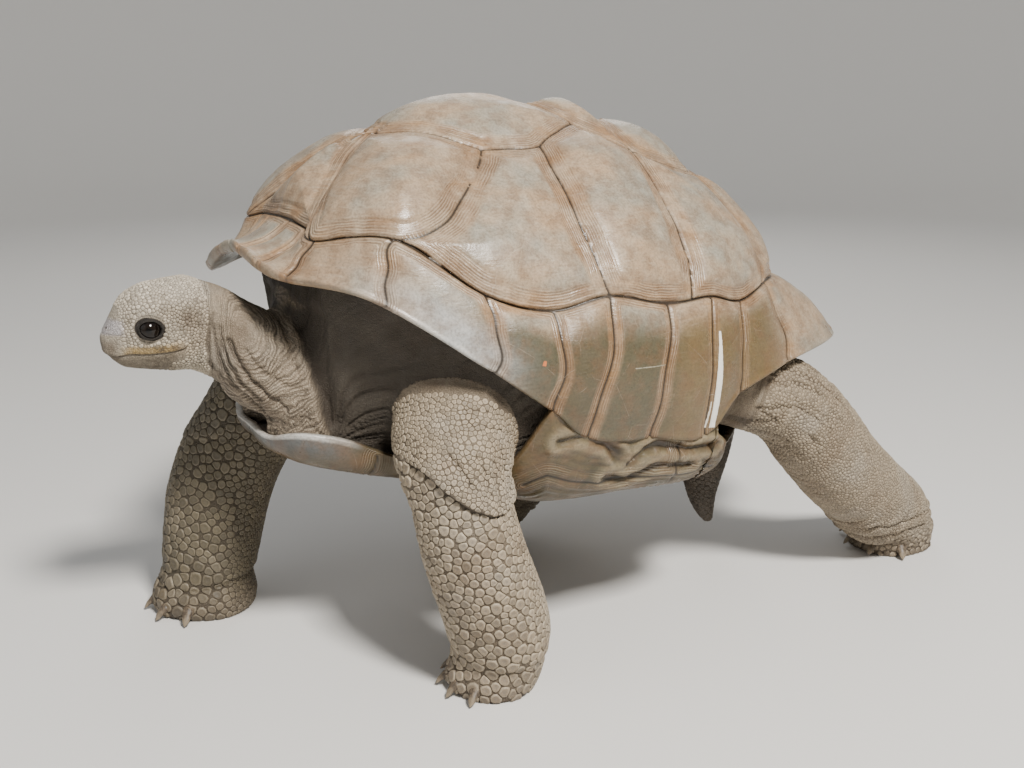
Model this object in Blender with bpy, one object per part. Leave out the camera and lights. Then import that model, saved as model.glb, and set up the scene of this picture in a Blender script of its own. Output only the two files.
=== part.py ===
"""Giant tortoise (Aldabrachelys gigantea), an adult male caught in mid stride, high on its legs.

Metres, +Z up, the head towards -Y and the animal's left side towards +X. The animal is worked out in
its own frame (midplane X = 0, floor Z = 0) and set on the origin by its box at the end.
"""
import bpy
import bmesh
import numpy as np
from mathutils import Matrix, Vector
from mathutils.kdtree import KDTree

# ---------------------------------------------------------------- driving sizes
GAP = 0.0004                # clearance between two pieces that touch
PLATE = 0.013               # thickness of the shell's plates
COLUMNS_PER_SCUTE = 2       # shell columns for each marginal scute
SCUTES = 13                 # stations from the nuchal's middle (0) to the supracaudal's middle (13)
HALF = SCUTES * COLUMNS_PER_SCUTE

# The shell's half outline. Each row is one border between two marginal scutes, from the middle of the
# front to the middle of the back: the top of the border, where the marginals meet the dome.
SEAM_TOP = np.array([
    (0.000, -0.427, 0.746), (0.045, -0.425, 0.744), (0.108, -0.420, 0.738), (0.167, -0.430, 0.728),
    (0.262, -0.342, 0.736), (0.320, -0.222, 0.653), (0.338, -0.120, 0.622), (0.345, -0.020, 0.636),
    (0.342, 0.090, 0.613), (0.330, 0.185, 0.614), (0.303, 0.270, 0.594), (0.248, 0.368, 0.608),
    (0.140, 0.470, 0.598), (0.000, 0.508, 0.595)])
# The foot of the same borders, on the shell's free edge and along the bridge.
RIM = np.array([
    (0.000, -0.505, 0.708), (0.050, -0.507, 0.708), (0.122, -0.500, 0.694), (0.175, -0.476, 0.680),
    (0.273, -0.380, 0.653), (0.346, -0.229, 0.549), (0.362, -0.130, 0.475), (0.358, -0.060, 0.420),
    (0.355, 0.065, 0.402), (0.352, 0.165, 0.388), (0.345, 0.235, 0.445), (0.317, 0.360, 0.478),
    (0.200, 0.580, 0.485), (0.000, 0.636, 0.472)])
# How far each border bulges out (+) or sags in (-) between its top and its foot.
FLARE = np.array([-0.010, -0.010, -0.012, -0.008, 0.000, 0.012, 0.022, 0.026,
                  0.026, 0.022, 0.014, 0.006, 0.014, 0.012])
# The right front corner of the shell hangs lower than the left: station, reach, (x, y, z) at the edge.
LOW_CORNER = (2.4, 1.4, (-0.006, -0.012, -0.036))
# Height of the back along the midline: (y, z), through the notches between the vertebral scutes.
MIDLINE = np.array([(-0.300, 0.864), (-0.150, 0.905), (-0.025, 0.911), (0.090, 0.905),
                    (0.186, 0.872), (0.300, 0.825), (0.380, 0.773)])
# Fullness of the dome at each border: 2 is a round dome, 1 a straight-sided cone.
DOME_POWER = np.array([1.20, 1.20, 1.22, 1.28, 1.34, 1.40, 1.42, 1.42, 1.42, 1.40, 1.36, 1.30,
                       1.24, 1.20])
SPINE_ENDS = (-0.300, 0.380)

# Seams of the dome, each a chain of (station, height 0 at the marginals to 1 on the midline).
SEAMS = {
    "v1_v2": [(0.0, 1.00), (1.6, 0.84)],
    "v2_v3": [(6.8, 1.00), (7.6, 0.76)],
    "v3_v4": [(8.9, 1.00), (8.9, 0.66)],
    "v4_v5": [(13.0, 1.00), (11.1, 0.66)],
    "v1_c1": [(1.6, 0.84), (2.0, 0.45), (3.0, 0.00)],
    "v2_c1": [(1.6, 0.84), (5.2, 0.62)],
    "v2_c2": [(5.2, 0.62), (6.5, 0.64)],
    "v2_c3": [(6.5, 0.64), (7.6, 0.76)],
    "v3_c3": [(7.6, 0.76), (8.9, 0.66)],
    "v4_c4": [(8.9, 0.66), (11.1, 0.66)],
    "v5_c4": [(11.1, 0.66), (11.2, 0.30), (10.8, 0.00)],
    "c1_c2": [(5.2, 0.62), (4.0, 0.00)],
    "c2_c3": [(6.5, 0.64), (7.0, 0.00)],
    "c3_c4": [(8.9, 0.66), (8.5, 0.00)],
}
SCUTE_RISE = 0.020          # how far the middle of a large scute stands over its seams
SCUTE_SLOPE = 0.055         # distance from the seam over which it rises
MARGINAL_RISE = 0.004

# The plastron's free edge, from the middle of its front lip to the notch behind: (station, x, y, z).
# Between BRIDGE[0] and BRIDGE[1] the edge is the foot of the marginals instead.
PLASTRON_EDGE = np.array([
    (0.0, 0.000, -0.498, 0.411), (1.0, 0.085, -0.493, 0.410), (2.0, 0.155, -0.457, 0.427),
    (2.7, 0.175, -0.400, 0.415), (3.6, 0.190, -0.310, 0.374), (4.6, 0.240, -0.215, 0.346),
    (5.4, 0.318, -0.175, 0.385), (6.0, 0.362, -0.130, 0.475), (9.5, 0.352, 0.185, 0.392),
    (10.2, 0.318, 0.242, 0.352), (11.0, 0.245, 0.275, 0.306), (11.8, 0.205, 0.345, 0.314),
    (12.4, 0.130, 0.425, 0.335), (12.8, 0.060, 0.437, 0.345), (13.0, 0.000, 0.405, 0.338)])
BRIDGE = (6.0, 9.5)
# Height of the plastron's underside along the midline; the hollow is a male's.
KEEL = np.array([(-0.490, 0.398), (-0.380, 0.370), (-0.250, 0.332), (-0.100, 0.312), (0.050, 0.308),
                 (0.200, 0.303), (0.300, 0.305), (0.390, 0.330)])
# How far the plastron's sides hang below that midline: (y, depth).
BELLY_SAG = np.array([(-0.490, 0.0), (-0.330, 0.0), (-0.180, 0.006), (0.000, 0.020), (0.220, 0.022),
                      (0.300, 0.012), (0.390, 0.0)])

# Limbs: (centre x, y, z, half breadth along the limb's broad side, half depth), from the body to the
# sole. The broad side lies along the direction BROAD.
FORELEG_L = [(0.200, -0.190, 0.500, 0.100, 0.090), (0.255, -0.245, 0.430, 0.098, 0.085),
             (0.292, -0.262, 0.385, 0.088, 0.082), (0.306, -0.262, 0.345, 0.077, 0.073),
             (0.314, -0.254, 0.290, 0.079, 0.069), (0.317, -0.238, 0.230, 0.082, 0.070),
             (0.313, -0.214, 0.165, 0.083, 0.074), (0.306, -0.195, 0.105, 0.082, 0.076),
             (0.296, -0.190, 0.060, 0.076, 0.072), (0.290, -0.196, 0.025, 0.076, 0.076),
             (0.289, -0.198, 0.000, 0.070, 0.072)]
FORELEG_R = [(-0.185, -0.270, 0.500, 0.100, 0.090), (-0.200, -0.345, 0.440, 0.100, 0.090),
             (-0.208, -0.402, 0.385, 0.097, 0.086), (-0.214, -0.440, 0.335, 0.093, 0.079),
             (-0.220, -0.472, 0.280, 0.093, 0.078), (-0.224, -0.495, 0.220, 0.093, 0.078),
             (-0.226, -0.508, 0.160, 0.090, 0.080), (-0.228, -0.518, 0.105, 0.086, 0.080),
             (-0.230, -0.524, 0.068, 0.082, 0.078), (-0.231, -0.532, 0.032, 0.094, 0.088),
             (-0.231, -0.532, 0.000, 0.090, 0.084)]
HINDLEG_L = [(0.160, 0.250, 0.455, 0.100, 0.095), (0.200, 0.345, 0.420, 0.096, 0.084),
             (0.232, 0.447, 0.374, 0.090, 0.082), (0.240, 0.515, 0.305, 0.084, 0.086),
             (0.236, 0.580, 0.236, 0.083, 0.085), (0.224, 0.648, 0.178, 0.086, 0.085),
             (0.207, 0.715, 0.124, 0.087, 0.088), (0.192, 0.777, 0.080, 0.083, 0.087),
             (0.182, 0.805, 0.040, 0.082, 0.088), (0.180, 0.808, 0.000, 0.078, 0.086)]
HINDLEG_R = [(-0.150, 0.290, 0.460, 0.090, 0.095), (-0.215, 0.320, 0.395, 0.090, 0.098),
             (-0.252, 0.318, 0.330, 0.086, 0.094), (-0.262, 0.273, 0.262, 0.084, 0.088),
             (-0.256, 0.205, 0.196, 0.086, 0.086), (-0.244, 0.125, 0.140, 0.087, 0.086),
             (-0.232, 0.065, 0.090, 0.084, 0.086), (-0.224, 0.040, 0.045, 0.080, 0.086),
             (-0.222, 0.036, 0.000, 0.077, 0.084)]
BROAD = {"leg_fl": (0.80, 0.60, 0.0), "leg_fr": (0.55, 0.83, 0.0),
         "leg_hl": (1.0, 0.0, 0.0), "leg_hr": (1.0, 0.0, 0.0)}
LIMB_SIDES = 14

# Neck: (y, middle height, half height, half width) from inside the body to behind the jaw.
NECK = [(-0.300, 0.520, 0.120, 0.140), (-0.380, 0.505, 0.096, 0.132), (-0.430, 0.502, 0.086, 0.122),
        (-0.480, 0.520, 0.092, 0.104), (-0.520, 0.545, 0.094, 0.088), (-0.5526, 0.574, 0.079, 0.068)]
NECK_SIDES = 20

# Head: (y, top, mouth line or throat, half width), from the tip of the beak to behind the ear.
HEAD = [(-0.7165, 0.583, 0.567, 0.008), (-0.712, 0.592, 0.553, 0.016), (-0.705, 0.603, 0.546, 0.023),
        (-0.697, 0.618, 0.548, 0.029), (-0.687, 0.634, 0.553, 0.035), (-0.674, 0.646, 0.556, 0.042),
        (-0.660, 0.653, 0.556, 0.048), (-0.645, 0.658, 0.556, 0.053), (-0.628, 0.660, 0.558, 0.057),
        (-0.612, 0.662, 0.562, 0.060), (-0.603, 0.663, 0.564, 0.061), (-0.5985, 0.663, 0.518, 0.061),
        (-0.585, 0.664, 0.514, 0.062), (-0.570, 0.660, 0.505, 0.062), (-0.553, 0.652, 0.500, 0.058)]
# Lower jaw: (y, top, bottom, half width).
JAW = [(-0.698, 0.5460, 0.534, 0.016), (-0.688, 0.5515, 0.528, 0.027), (-0.674, 0.5550, 0.525, 0.036),
       (-0.654, 0.5550, 0.522, 0.045), (-0.634, 0.5560, 0.519, 0.052), (-0.617, 0.5600, 0.516, 0.056),
       (-0.6045, 0.5630, 0.516, 0.058)]
HEAD_SIDES = 20
EYE = (0.0435, -0.651, 0.5945)      # centre of the left eyeball
EYE_RADIUS = 0.0180

# Tail: (y, z, radius), from the body to the horny tip.
TAIL = [(0.350, 0.430, 0.085), (0.420, 0.370, 0.078), (0.450, 0.300, 0.066), (0.452, 0.230, 0.056),
        (0.445, 0.170, 0.047), (0.446, 0.120, 0.034), (0.456, 0.080, 0.022), (0.468, 0.052, 0.010)]

# The trunk leaves the shell at this place on each border: -1 on the midline, 0 at the marginals' top
# seam, 1 at the free edge. Below it the skin bulges out by SKIN_BULGE on its way to the plastron.
TRUNK_LEAVES = np.array([-0.16, -0.16, -0.08, 0.20, 0.62, 0.80, 0.80, 0.80, 0.80, 0.80, 0.62, 0.35,
                         0.05, -0.05])
SKIN_BULGE = np.array([0.000, 0.000, 0.005, 0.015, 0.022, 0.018, 0.0, 0.0, 0.0, 0.0, 0.010, 0.018,
                       0.000, 0.000])
TRUNK_INSET = 0.010         # clearance between the trunk and the plates over it

# Claws: the leg, the number of claws, the arc of the sole they stand on (degrees from +X, first and
# last), and their length and half width.
CLAWS = {"leg_fl": (5, (190.0, 310.0), 0.034, 0.0115), "leg_fr": (5, (195.0, 325.0), 0.036, 0.0125),
         "leg_hl": (4, (215.0, 330.0), 0.032, 0.0125), "leg_hr": (4, (215.0, 325.0), 0.032, 0.0125)}
CLAW_LIFT = 0.003           # clearance of a claw's tip over the floor


# ---------------------------------------------------------------- mesh helpers
def material(name, colour, roughness):
    made = bpy.data.materials.new(name)
    made.use_nodes = True
    shader = made.node_tree.nodes["Principled BSDF"]
    shader.inputs["Base Color"].default_value = (*colour, 1.0)
    shader.inputs["Roughness"].default_value = roughness
    shader.inputs["Metallic"].default_value = 0.0
    return made


def solid(name, points, faces, look, smooth=True):
    """One closed body, its faces turned outwards."""
    mesh = bpy.data.meshes.new(name)
    mesh.from_pydata([tuple(p) for p in points], [], faces)
    work = bmesh.new()
    work.from_mesh(mesh)
    bmesh.ops.remove_doubles(work, verts=work.verts, dist=1e-6)
    bmesh.ops.recalc_face_normals(work, faces=work.faces)
    if work.calc_volume(signed=True) < 0.0:
        bmesh.ops.reverse_faces(work, faces=work.faces)
    bmesh.ops.triangulate(work, faces=work.faces)
    work.to_mesh(mesh)
    work.free()
    mesh.materials.append(look)
    made = bpy.data.objects.new(name, mesh)
    bpy.context.scene.collection.objects.link(made)
    if smooth:
        mesh.shade_smooth()
    return made


def strips(rows, columns, first=0):
    """Quads between neighbouring closed rows of points."""
    faces = []
    for row in range(rows - 1):
        for column in range(columns):
            a = first + row * columns + column
            b = first + row * columns + (column + 1) % columns
            faces.append((a, b, b + columns, a + columns))
    return faces


def loft(name, rings, look, smooth=True):
    """A tube through closed rings of points, with a flat cap on each end."""
    count = len(rings[0])
    faces = strips(len(rings), count)
    faces.append(tuple(range(count)))
    faces.append(tuple(range((len(rings) - 1) * count, len(rings) * count)))
    return solid(name, np.concatenate(rings), faces, look, smooth)


def smooth_curve(table, at):
    """Values of a table of rows (parameter, value, ...) at the given parameters, as a smooth curve."""
    table = np.asarray(table, float)
    at = np.asarray(at, float)
    knots, values = table[:, 0], table[:, 1:]
    slopes = np.gradient(values, knots, axis=0)
    span = np.clip(np.searchsorted(knots, at, side="right") - 1, 0, len(knots) - 2)
    width = knots[span + 1] - knots[span]
    s = np.clip((at - knots[span]) / width, 0.0, 1.0)[..., None]
    width = width[..., None]
    return ((2 * s ** 3 - 3 * s ** 2 + 1) * values[span] + (s ** 3 - 2 * s ** 2 + s) * width * slopes[span]
            + (-2 * s ** 3 + 3 * s ** 2) * values[span + 1] + (s ** 3 - s ** 2) * width * slopes[span + 1])


def bordered(points):
    """A border table: the stations 0 to SCUTES in front of each point."""
    return np.column_stack([np.arange(len(points)), points])


def both_sides(half):
    """The columns of the whole shell, from those of its left half (first and last on the midline)."""
    mirrored = half[:, -2:0:-1] * np.array([-1.0, 1.0, 1.0])
    return np.concatenate([half, mirrored], axis=1)


# ---------------------------------------------------------------- the shell's shape
def seam_top(station):
    return smooth_curve(bordered(SEAM_TOP), station)


def rim(station):
    return smooth_curve(bordered(RIM), station)


def spine_point(station):
    """Where a station's meridian meets the midline."""
    along = seam_top(station)[..., 1]
    first, last = SEAM_TOP[0, 1], SEAM_TOP[-1, 1]
    share = 0.5 * np.asarray(station) / SCUTES + 0.5 * (along - first) / (last - first)
    y = SPINE_ENDS[0] + (SPINE_ENDS[1] - SPINE_ENDS[0]) * share
    height = smooth_curve(MIDLINE, y)[..., 0]
    return np.stack([np.zeros_like(y), y, height], axis=-1)


def dome(station, height):
    """The left half of the dome: station 0 to SCUTES, height 0 at the marginals to 1 on the midline."""
    station, height = np.broadcast_arrays(np.asarray(station, float), np.asarray(height, float))
    foot, top = seam_top(station), spine_point(station)
    angle = height * np.pi / 2
    power = 2 / smooth_curve(bordered(DOME_POWER[:, None]), station)[..., 0]
    inwards = 1.0 - np.cos(angle).clip(0.0, 1.0) ** power
    upwards = np.sin(angle).clip(0.0, 1.0) ** power
    share = np.stack([inwards, inwards, upwards], axis=-1)
    return foot + (top - foot) * share


def marginal(station, drop):
    """The left half of the marginal band: drop 0 at its top seam to 1 at the free edge."""
    station, drop = np.broadcast_arrays(np.asarray(station, float), np.asarray(drop, float))
    top, foot = seam_top(station), rim(station)
    chord = foot - top
    before, after = rim(np.clip(station - 0.5, 0, SCUTES)), rim(np.clip(station + 0.5, 0, SCUTES))
    out = np.cross(after - before, chord)
    out /= np.linalg.norm(out, axis=-1, keepdims=True)
    bulge = smooth_curve(bordered(FLARE[:, None]), station) * (4 * drop * (1 - drop))[..., None]
    return top + chord * drop[..., None] - out * bulge


def seam_points(spacing=0.004):
    """Points along every seam of the dome, on both sides."""
    found = []
    for chain in SEAMS.values():
        knots = np.array(chain)
        table = np.column_stack([np.linspace(0, 1, len(knots)), knots])
        found.append(dome(*smooth_curve(table, np.linspace(0, 1, int(0.4 / spacing))).T))
    found.append(dome(np.linspace(0, SCUTES, int(1.6 / spacing)), 0.0))
    half = np.concatenate(found)
    return np.concatenate([half, half * np.array([-1.0, 1.0, 1.0])])


def outward(grid, middle_height):
    """Unit normals of a grid of points (rows by columns), turned away from the body's middle.

    The first row, on the midline, points straight up.
    """
    along = np.roll(grid, -1, axis=1) - np.roll(grid, 1, axis=1)
    down = np.gradient(grid, axis=0)
    out = np.cross(along, down)
    size = np.linalg.norm(out, axis=-1, keepdims=True)
    out /= np.where(size < 1e-12, 1.0, size)
    middle = np.zeros_like(grid)
    middle[..., 1] = grid[..., 1].clip(*SPINE_ENDS)
    middle[..., 2] = middle_height
    away = np.sign(np.sum(out * (grid - middle), axis=-1, keepdims=True))
    out *= np.where(away == 0, 1.0, away)
    out[0] = (0.0, 0.0, 1.0)
    return out


def scute_rise(points):
    """How far the scutes stand over their seams at each point of the dome."""
    seams = seam_points()
    tree = KDTree(len(seams))
    for index, point in enumerate(seams):
        tree.insert(Vector(point), index)
    tree.balance()
    away = np.array([tree.find(Vector(p))[2] for p in points.reshape(-1, 3)]).reshape(points.shape[:-1])
    return SCUTE_RISE * (1.0 - np.exp(-(away / SCUTE_SLOPE) ** 1.5))


def inside(grid, depth):
    """The grid moved inwards by a depth; no point crosses the midline."""
    moved = grid - outward(grid, 0.45) * depth
    side = np.sign(grid[..., 0])
    moved[..., 0] = side * np.maximum(side * moved[..., 0], 0.25 * abs(grid[..., 0]))
    moved[:, [0, HALF], 0] = 0.0
    moved[0, :, 0] = 0.0
    return moved


def corner_share(middle, reach):
    """How much of a change to the right side's corner each column of the shell takes, 0 to 1."""
    stations = np.linspace(0, SCUTES, HALF + 1)
    weight = np.exp(-((stations - middle) / reach) ** 2)
    return np.concatenate([np.zeros(HALF + 1), weight[-2:0:-1]])


def shell_grid(heights, drops):
    """The smooth shell as rows from the midline down over the dome and the marginals."""
    stations = np.linspace(0, SCUTES, HALF + 1)
    rows = [dome(stations, height) for height in heights] + [marginal(stations, drop) for drop in drops]
    grid = both_sides(np.stack(rows))
    middle, reach, shift = LOW_CORNER
    share = np.concatenate([np.zeros(len(heights)), drops])[:, None] * corner_share(middle, reach)
    return grid + share[..., None] * np.array(shift)


# ---------------------------------------------------------------- shell and trunk
DOME_ROWS = (1.0, 0.90, 0.80, 0.70, 0.60, 0.50, 0.39, 0.27, 0.14, 0.0)
BAND_ROWS = (0.33, 0.67, 1.0)
INNER_DOME_ROWS = (1.0, 0.76, 0.52, 0.26, 0.0)
INNER_BAND_ROWS = (0.5, 1.0)


def carapace(look):
    outer = shell_grid(DOME_ROWS, BAND_ROWS)
    rise = scute_rise(outer)
    rise[len(DOME_ROWS):] = 0.0
    rise[len(DOME_ROWS):-1] = MARGINAL_RISE
    outer += outward(outer, 0.45) * rise[..., None]
    outer[:, [0, HALF], 0] = 0.0
    outer[0, :, 0] = 0.0
    inner = inside(shell_grid(INNER_DOME_ROWS, INNER_BAND_ROWS), PLATE)
    rows = np.concatenate([outer, inner[::-1]])
    columns = rows.shape[1]
    return solid("carapace", rows.reshape(-1, 3), strips(len(rows), columns), look)


def plastron_edge(station):
    """The plastron's free edge; beside the bridge it follows the marginals, a hair below them."""
    station = np.asarray(station, float)
    edge = smooth_curve(PLASTRON_EDGE, station)
    under = rim(station) - np.array([0.0, 0.0, 2 * GAP])
    on_bridge = (station >= BRIDGE[0]) & (station <= BRIDGE[1])
    return np.where(on_bridge[..., None], under, edge)


def plastron_grid(rows, lift=0.0, inset=0.0):
    """The plastron as rows from its edge to the midline, moved up and inwards by a clearance.

    Each row is the share of the way in to the midline and the share of the way down to the keel.
    """
    stations = np.linspace(0, SCUTES, HALF + 1)
    edge = plastron_edge(stations)
    first, last = edge[0, 1] + 0.03, edge[-1, 1] - 0.03
    along = (edge[:, 1] - edge[:, 1].min()) / (edge[:, 1].max() - edge[:, 1].min())
    y = first + (last - first) * (0.5 * along + 0.5 * stations / SCUTES)
    keel = np.stack([np.zeros_like(y), y, smooth_curve(KEEL, y)[:, 0]], axis=-1)
    inwards = (keel - edge) * np.array([1.0, 1.0, 0.0])
    inwards /= np.linalg.norm(inwards, axis=-1, keepdims=True)
    grid = []
    for share, drop in rows:
        point = edge + (keel - edge) * share
        low = keel[:, 2] - smooth_curve(BELLY_SAG, keel[:, 1])[:, 0] * (1.0 - share ** 1.5)
        point[:, 2] = edge[:, 2] + (low - edge[:, 2]) * drop + lift * min(1.0, 3 * drop)
        grid.append(point + inwards * inset * (1.0 - share))
    grid = both_sides(np.stack(grid))
    grid[:, [0, HALF], 0] = 0.0
    grid[-1, :, 0] = 0.0
    return grid


PLASTRON_ROWS = ((0.0, 0.0), (0.02, 0.34), (0.07, 0.70), (0.15, 0.93), (0.26, 1.0), (0.60, 1.0), (1.0, 1.0))


def plastron(look):
    lower = plastron_grid(PLASTRON_ROWS)
    upper = plastron_grid(PLASTRON_ROWS[::2], PLATE, PLATE)[::-1]
    rows = np.concatenate([upper, lower])
    return solid("plastron", rows.reshape(-1, 3), strips(len(rows), rows.shape[1]), look)


def ellipse_ring(centre, broad, depth, half_broad, half_depth, sides, power=2.0):
    """A ring of points round a centre, with its half sizes along two unit directions."""
    angles = np.arange(sides) * 2 * np.pi / sides
    c, s = np.cos(angles), np.sin(angles)
    c, s = np.sign(c) * abs(c) ** (2 / power), np.sign(s) * abs(s) ** (2 / power)
    return (np.asarray(centre) + np.outer(c * half_broad, broad) + np.outer(s * half_depth, depth))


def unit(vector):
    vector = np.asarray(vector, float)
    return vector / np.linalg.norm(vector)


def limb(name, stations, look):
    """A leg through its stations; the last ring is the flat sole."""
    stations = np.array(stations)
    centres = stations[:, :3]
    runs = np.gradient(centres, axis=0)
    rings = []
    for index, (centre, run, sizes) in enumerate(zip(centres, runs, stations[:, 3:])):
        run = unit(run)
        level = min(1.0, centre[2] / 0.12)
        run = unit(run * level + np.array([0.0, 0.0, -1.0]) * (1.0 - level))
        broad = unit(np.array(BROAD[name]) - run * np.dot(BROAD[name], run))
        depth = np.cross(run, broad)
        rings.append(ellipse_ring(centre, broad, depth, sizes[0], sizes[1], LIMB_SIDES, 2.3))
    return loft(name, rings, look)


def claws(leg, stations, look):
    """The claws stand round the front of a sole, each curved down to just over the floor."""
    count, (first, last), length, half_width = CLAWS[leg]
    x, y, _, half_broad, half_depth = stations[-1]
    made = []
    for index, degrees in enumerate(np.linspace(first, last, count)):
        out = np.array([np.cos(np.radians(degrees)), np.sin(np.radians(degrees)), 0.0])
        across = np.array([-out[1], out[0], 0.0])
        up = np.array([0.0, 0.0, 1.0])
        reach = 0.5 * (half_broad + half_depth) - 0.010
        rings = []
        for share in (0.0, 0.45, 0.80, 1.0):
            thick = half_width * (1.0 - 0.72 * share ** 1.6)
            tall = thick * 0.80
            base = np.array([x, y, 0.0]) + out * (reach + share * length)
            drop = (half_width * 1.25 + 0.006) * (1.0 - share ** 2) + tall + CLAW_LIFT
            rings.append(ellipse_ring(base + up * drop, across, up, thick, tall, 6))
        made.append(loft(f"claw_{leg[4:]}_{index + 1}", rings, look))
    return made


def between_rows(grid, places, wanted):
    """For each column, the point of a grid at the wanted place, straight between the rows beside it."""
    row = np.clip(np.searchsorted(places, wanted, side="right") - 1, 0, len(places) - 2)
    share = ((wanted - places[row]) / (places[row + 1] - places[row]))[:, None]
    column = np.arange(grid.shape[1])
    return grid[row, column] * (1.0 - share) + grid[row + 1, column] * share


def trunk(look):
    """The body inside the shell, with the bare skin between the carapace and the plastron."""
    stations = np.linspace(0, SCUTES, HALF + 1)
    leaves = smooth_curve(bordered(TRUNK_LEAVES[:, None]), stations)[:, 0]
    clear = PLATE + TRUNK_INSET
    leaves = np.concatenate([leaves, leaves[-2:0:-1]])
    under_shell = inside(shell_grid(INNER_DOME_ROWS, INNER_BAND_ROWS), clear)
    places = np.array([*(-height for height in INNER_DOME_ROWS), *INNER_BAND_ROWS])
    upper = np.stack([between_rows(under_shell, places, np.minimum(place, leaves)) for place in places])
    lower = plastron_grid(PLASTRON_ROWS[2::2], clear, clear)
    start, end = upper[-1], lower[0]
    across = end - start
    out = np.stack([end[:, 0], end[:, 1] - end[:, 1].clip(-0.25, 0.25), np.zeros(len(end))], axis=-1)
    out /= np.maximum(np.linalg.norm(out, axis=-1, keepdims=True), 1e-9)
    bulge = smooth_curve(bordered(SKIN_BULGE[:, None]), stations)[:, 0]
    bulge = np.concatenate([bulge, bulge[-2:0:-1]])
    wall = [start + across * s + out * (bulge * 4 * s * (1 - s))[:, None] for s in (0.25, 0.5, 0.75)]
    rows = np.concatenate([upper, np.stack(wall), lower])
    rows[:, [0, HALF], 0] = 0.0
    rows[[0, -1], :, 0] = 0.0
    return solid("trunk", rows.reshape(-1, 3), strips(len(rows), rows.shape[1]), look)


def section(y, low, high, half_width, sides, power_low, power_high, belt=0.42):
    """A ring across the head: flatter below or above as its powers grow."""
    angles = np.arange(sides) * 2 * np.pi / sides
    c, s = np.cos(angles), np.sin(angles)
    power = np.where(s < 0, power_low, power_high)
    middle = low + belt * (high - low)
    x = np.sign(c) * abs(c) ** (2 / power) * half_width
    z = middle + np.where(s < 0, middle - low, high - middle) * np.sign(s) * abs(s) ** (2 / power)
    return np.stack([x, np.full(sides, y), z], axis=-1)


def neck(look):
    rings = [ellipse_ring((0.0, y, z), (1, 0, 0), (0, 0, 1), half_width, half_height, NECK_SIDES, 2.2)
             for y, z, half_height, half_width in NECK]
    return loft("neck", rings, look)


def head(look):
    rings = []
    for y, top, low, half_width in HEAD:
        in_throat = y > -0.600
        rings.append(section(y, low, top, half_width, HEAD_SIDES, 2.2 if in_throat else 5.0, 2.3))
    return loft("head", rings, look)


def jaw(look):
    rings = [section(y, low, top, half_width, HEAD_SIDES, 2.3, 5.0, 0.7) for y, top, low, half_width in JAW]
    return loft("jaw", rings, look)


def tail(look):
    rings = []
    centres = np.array([(0.0, y, z) for y, z, _ in TAIL])
    runs = np.gradient(centres, axis=0)
    for centre, run, (_, _, radius) in zip(centres, runs, TAIL):
        across = np.array([1.0, 0.0, 0.0])
        rings.append(ellipse_ring(centre, across, np.cross(unit(run), across), radius, radius * 0.9, 12))
    return loft("tail", rings, look)


def ball(name, centre, radius, look, segments=14, rings=9):
    mesh = bpy.data.meshes.new(name)
    work = bmesh.new()
    bmesh.ops.create_uvsphere(work, u_segments=segments, v_segments=rings, radius=radius)
    bmesh.ops.translate(work, verts=work.verts, vec=Vector(centre))
    work.to_mesh(mesh)
    work.free()
    if look:
        mesh.materials.append(look)
    mesh.shade_smooth()
    made = bpy.data.objects.new(name, mesh)
    bpy.context.scene.collection.objects.link(made)
    return made


# ---------------------------------------------------------------- parting the pieces
def hide(cutter):
    cutter.hide_render = True
    cutter.display_type = "WIRE"


def swollen(source, by=GAP):
    """A copy of a piece, every face moved out by a hair, that cuts its neighbours."""
    depsgraph = bpy.context.evaluated_depsgraph_get()
    mesh = bpy.data.meshes.new_from_object(source.evaluated_get(depsgraph))
    for vertex, normal in zip(mesh.vertices, [Vector(n.vector) for n in mesh.vertex_normals]):
        vertex.co += normal * by
    mesh.materials.clear()
    cutter = bpy.data.objects.new(f"cut_by_{source.name}", mesh)
    bpy.context.scene.collection.objects.link(cutter)
    hide(cutter)
    return cutter


def cut(target, *cutters):
    for cutter in cutters:
        boolean = target.modifiers.new(f"less {cutter.name}", "BOOLEAN")
        boolean.operation = "DIFFERENCE"
        boolean.solver = "EXACT"
        boolean.object = cutter
    bpy.context.view_layer.update()


def set_on_origin(pieces):
    """The middle of the whole animal's footprint comes to the origin."""
    depsgraph = bpy.context.evaluated_depsgraph_get()
    points = []
    for piece in pieces:
        mesh = piece.evaluated_get(depsgraph).to_mesh()
        points += [v.co.copy() for v in mesh.vertices]
    low = [min(p[axis] for p in points) for axis in range(3)]
    high = [max(p[axis] for p in points) for axis in range(3)]
    shift = Vector(((low[0] + high[0]) / -2, (low[1] + high[1]) / -2, -low[2]))
    for thing in bpy.data.objects:
        thing.data.transform(Matrix.Translation(shift))


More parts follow.
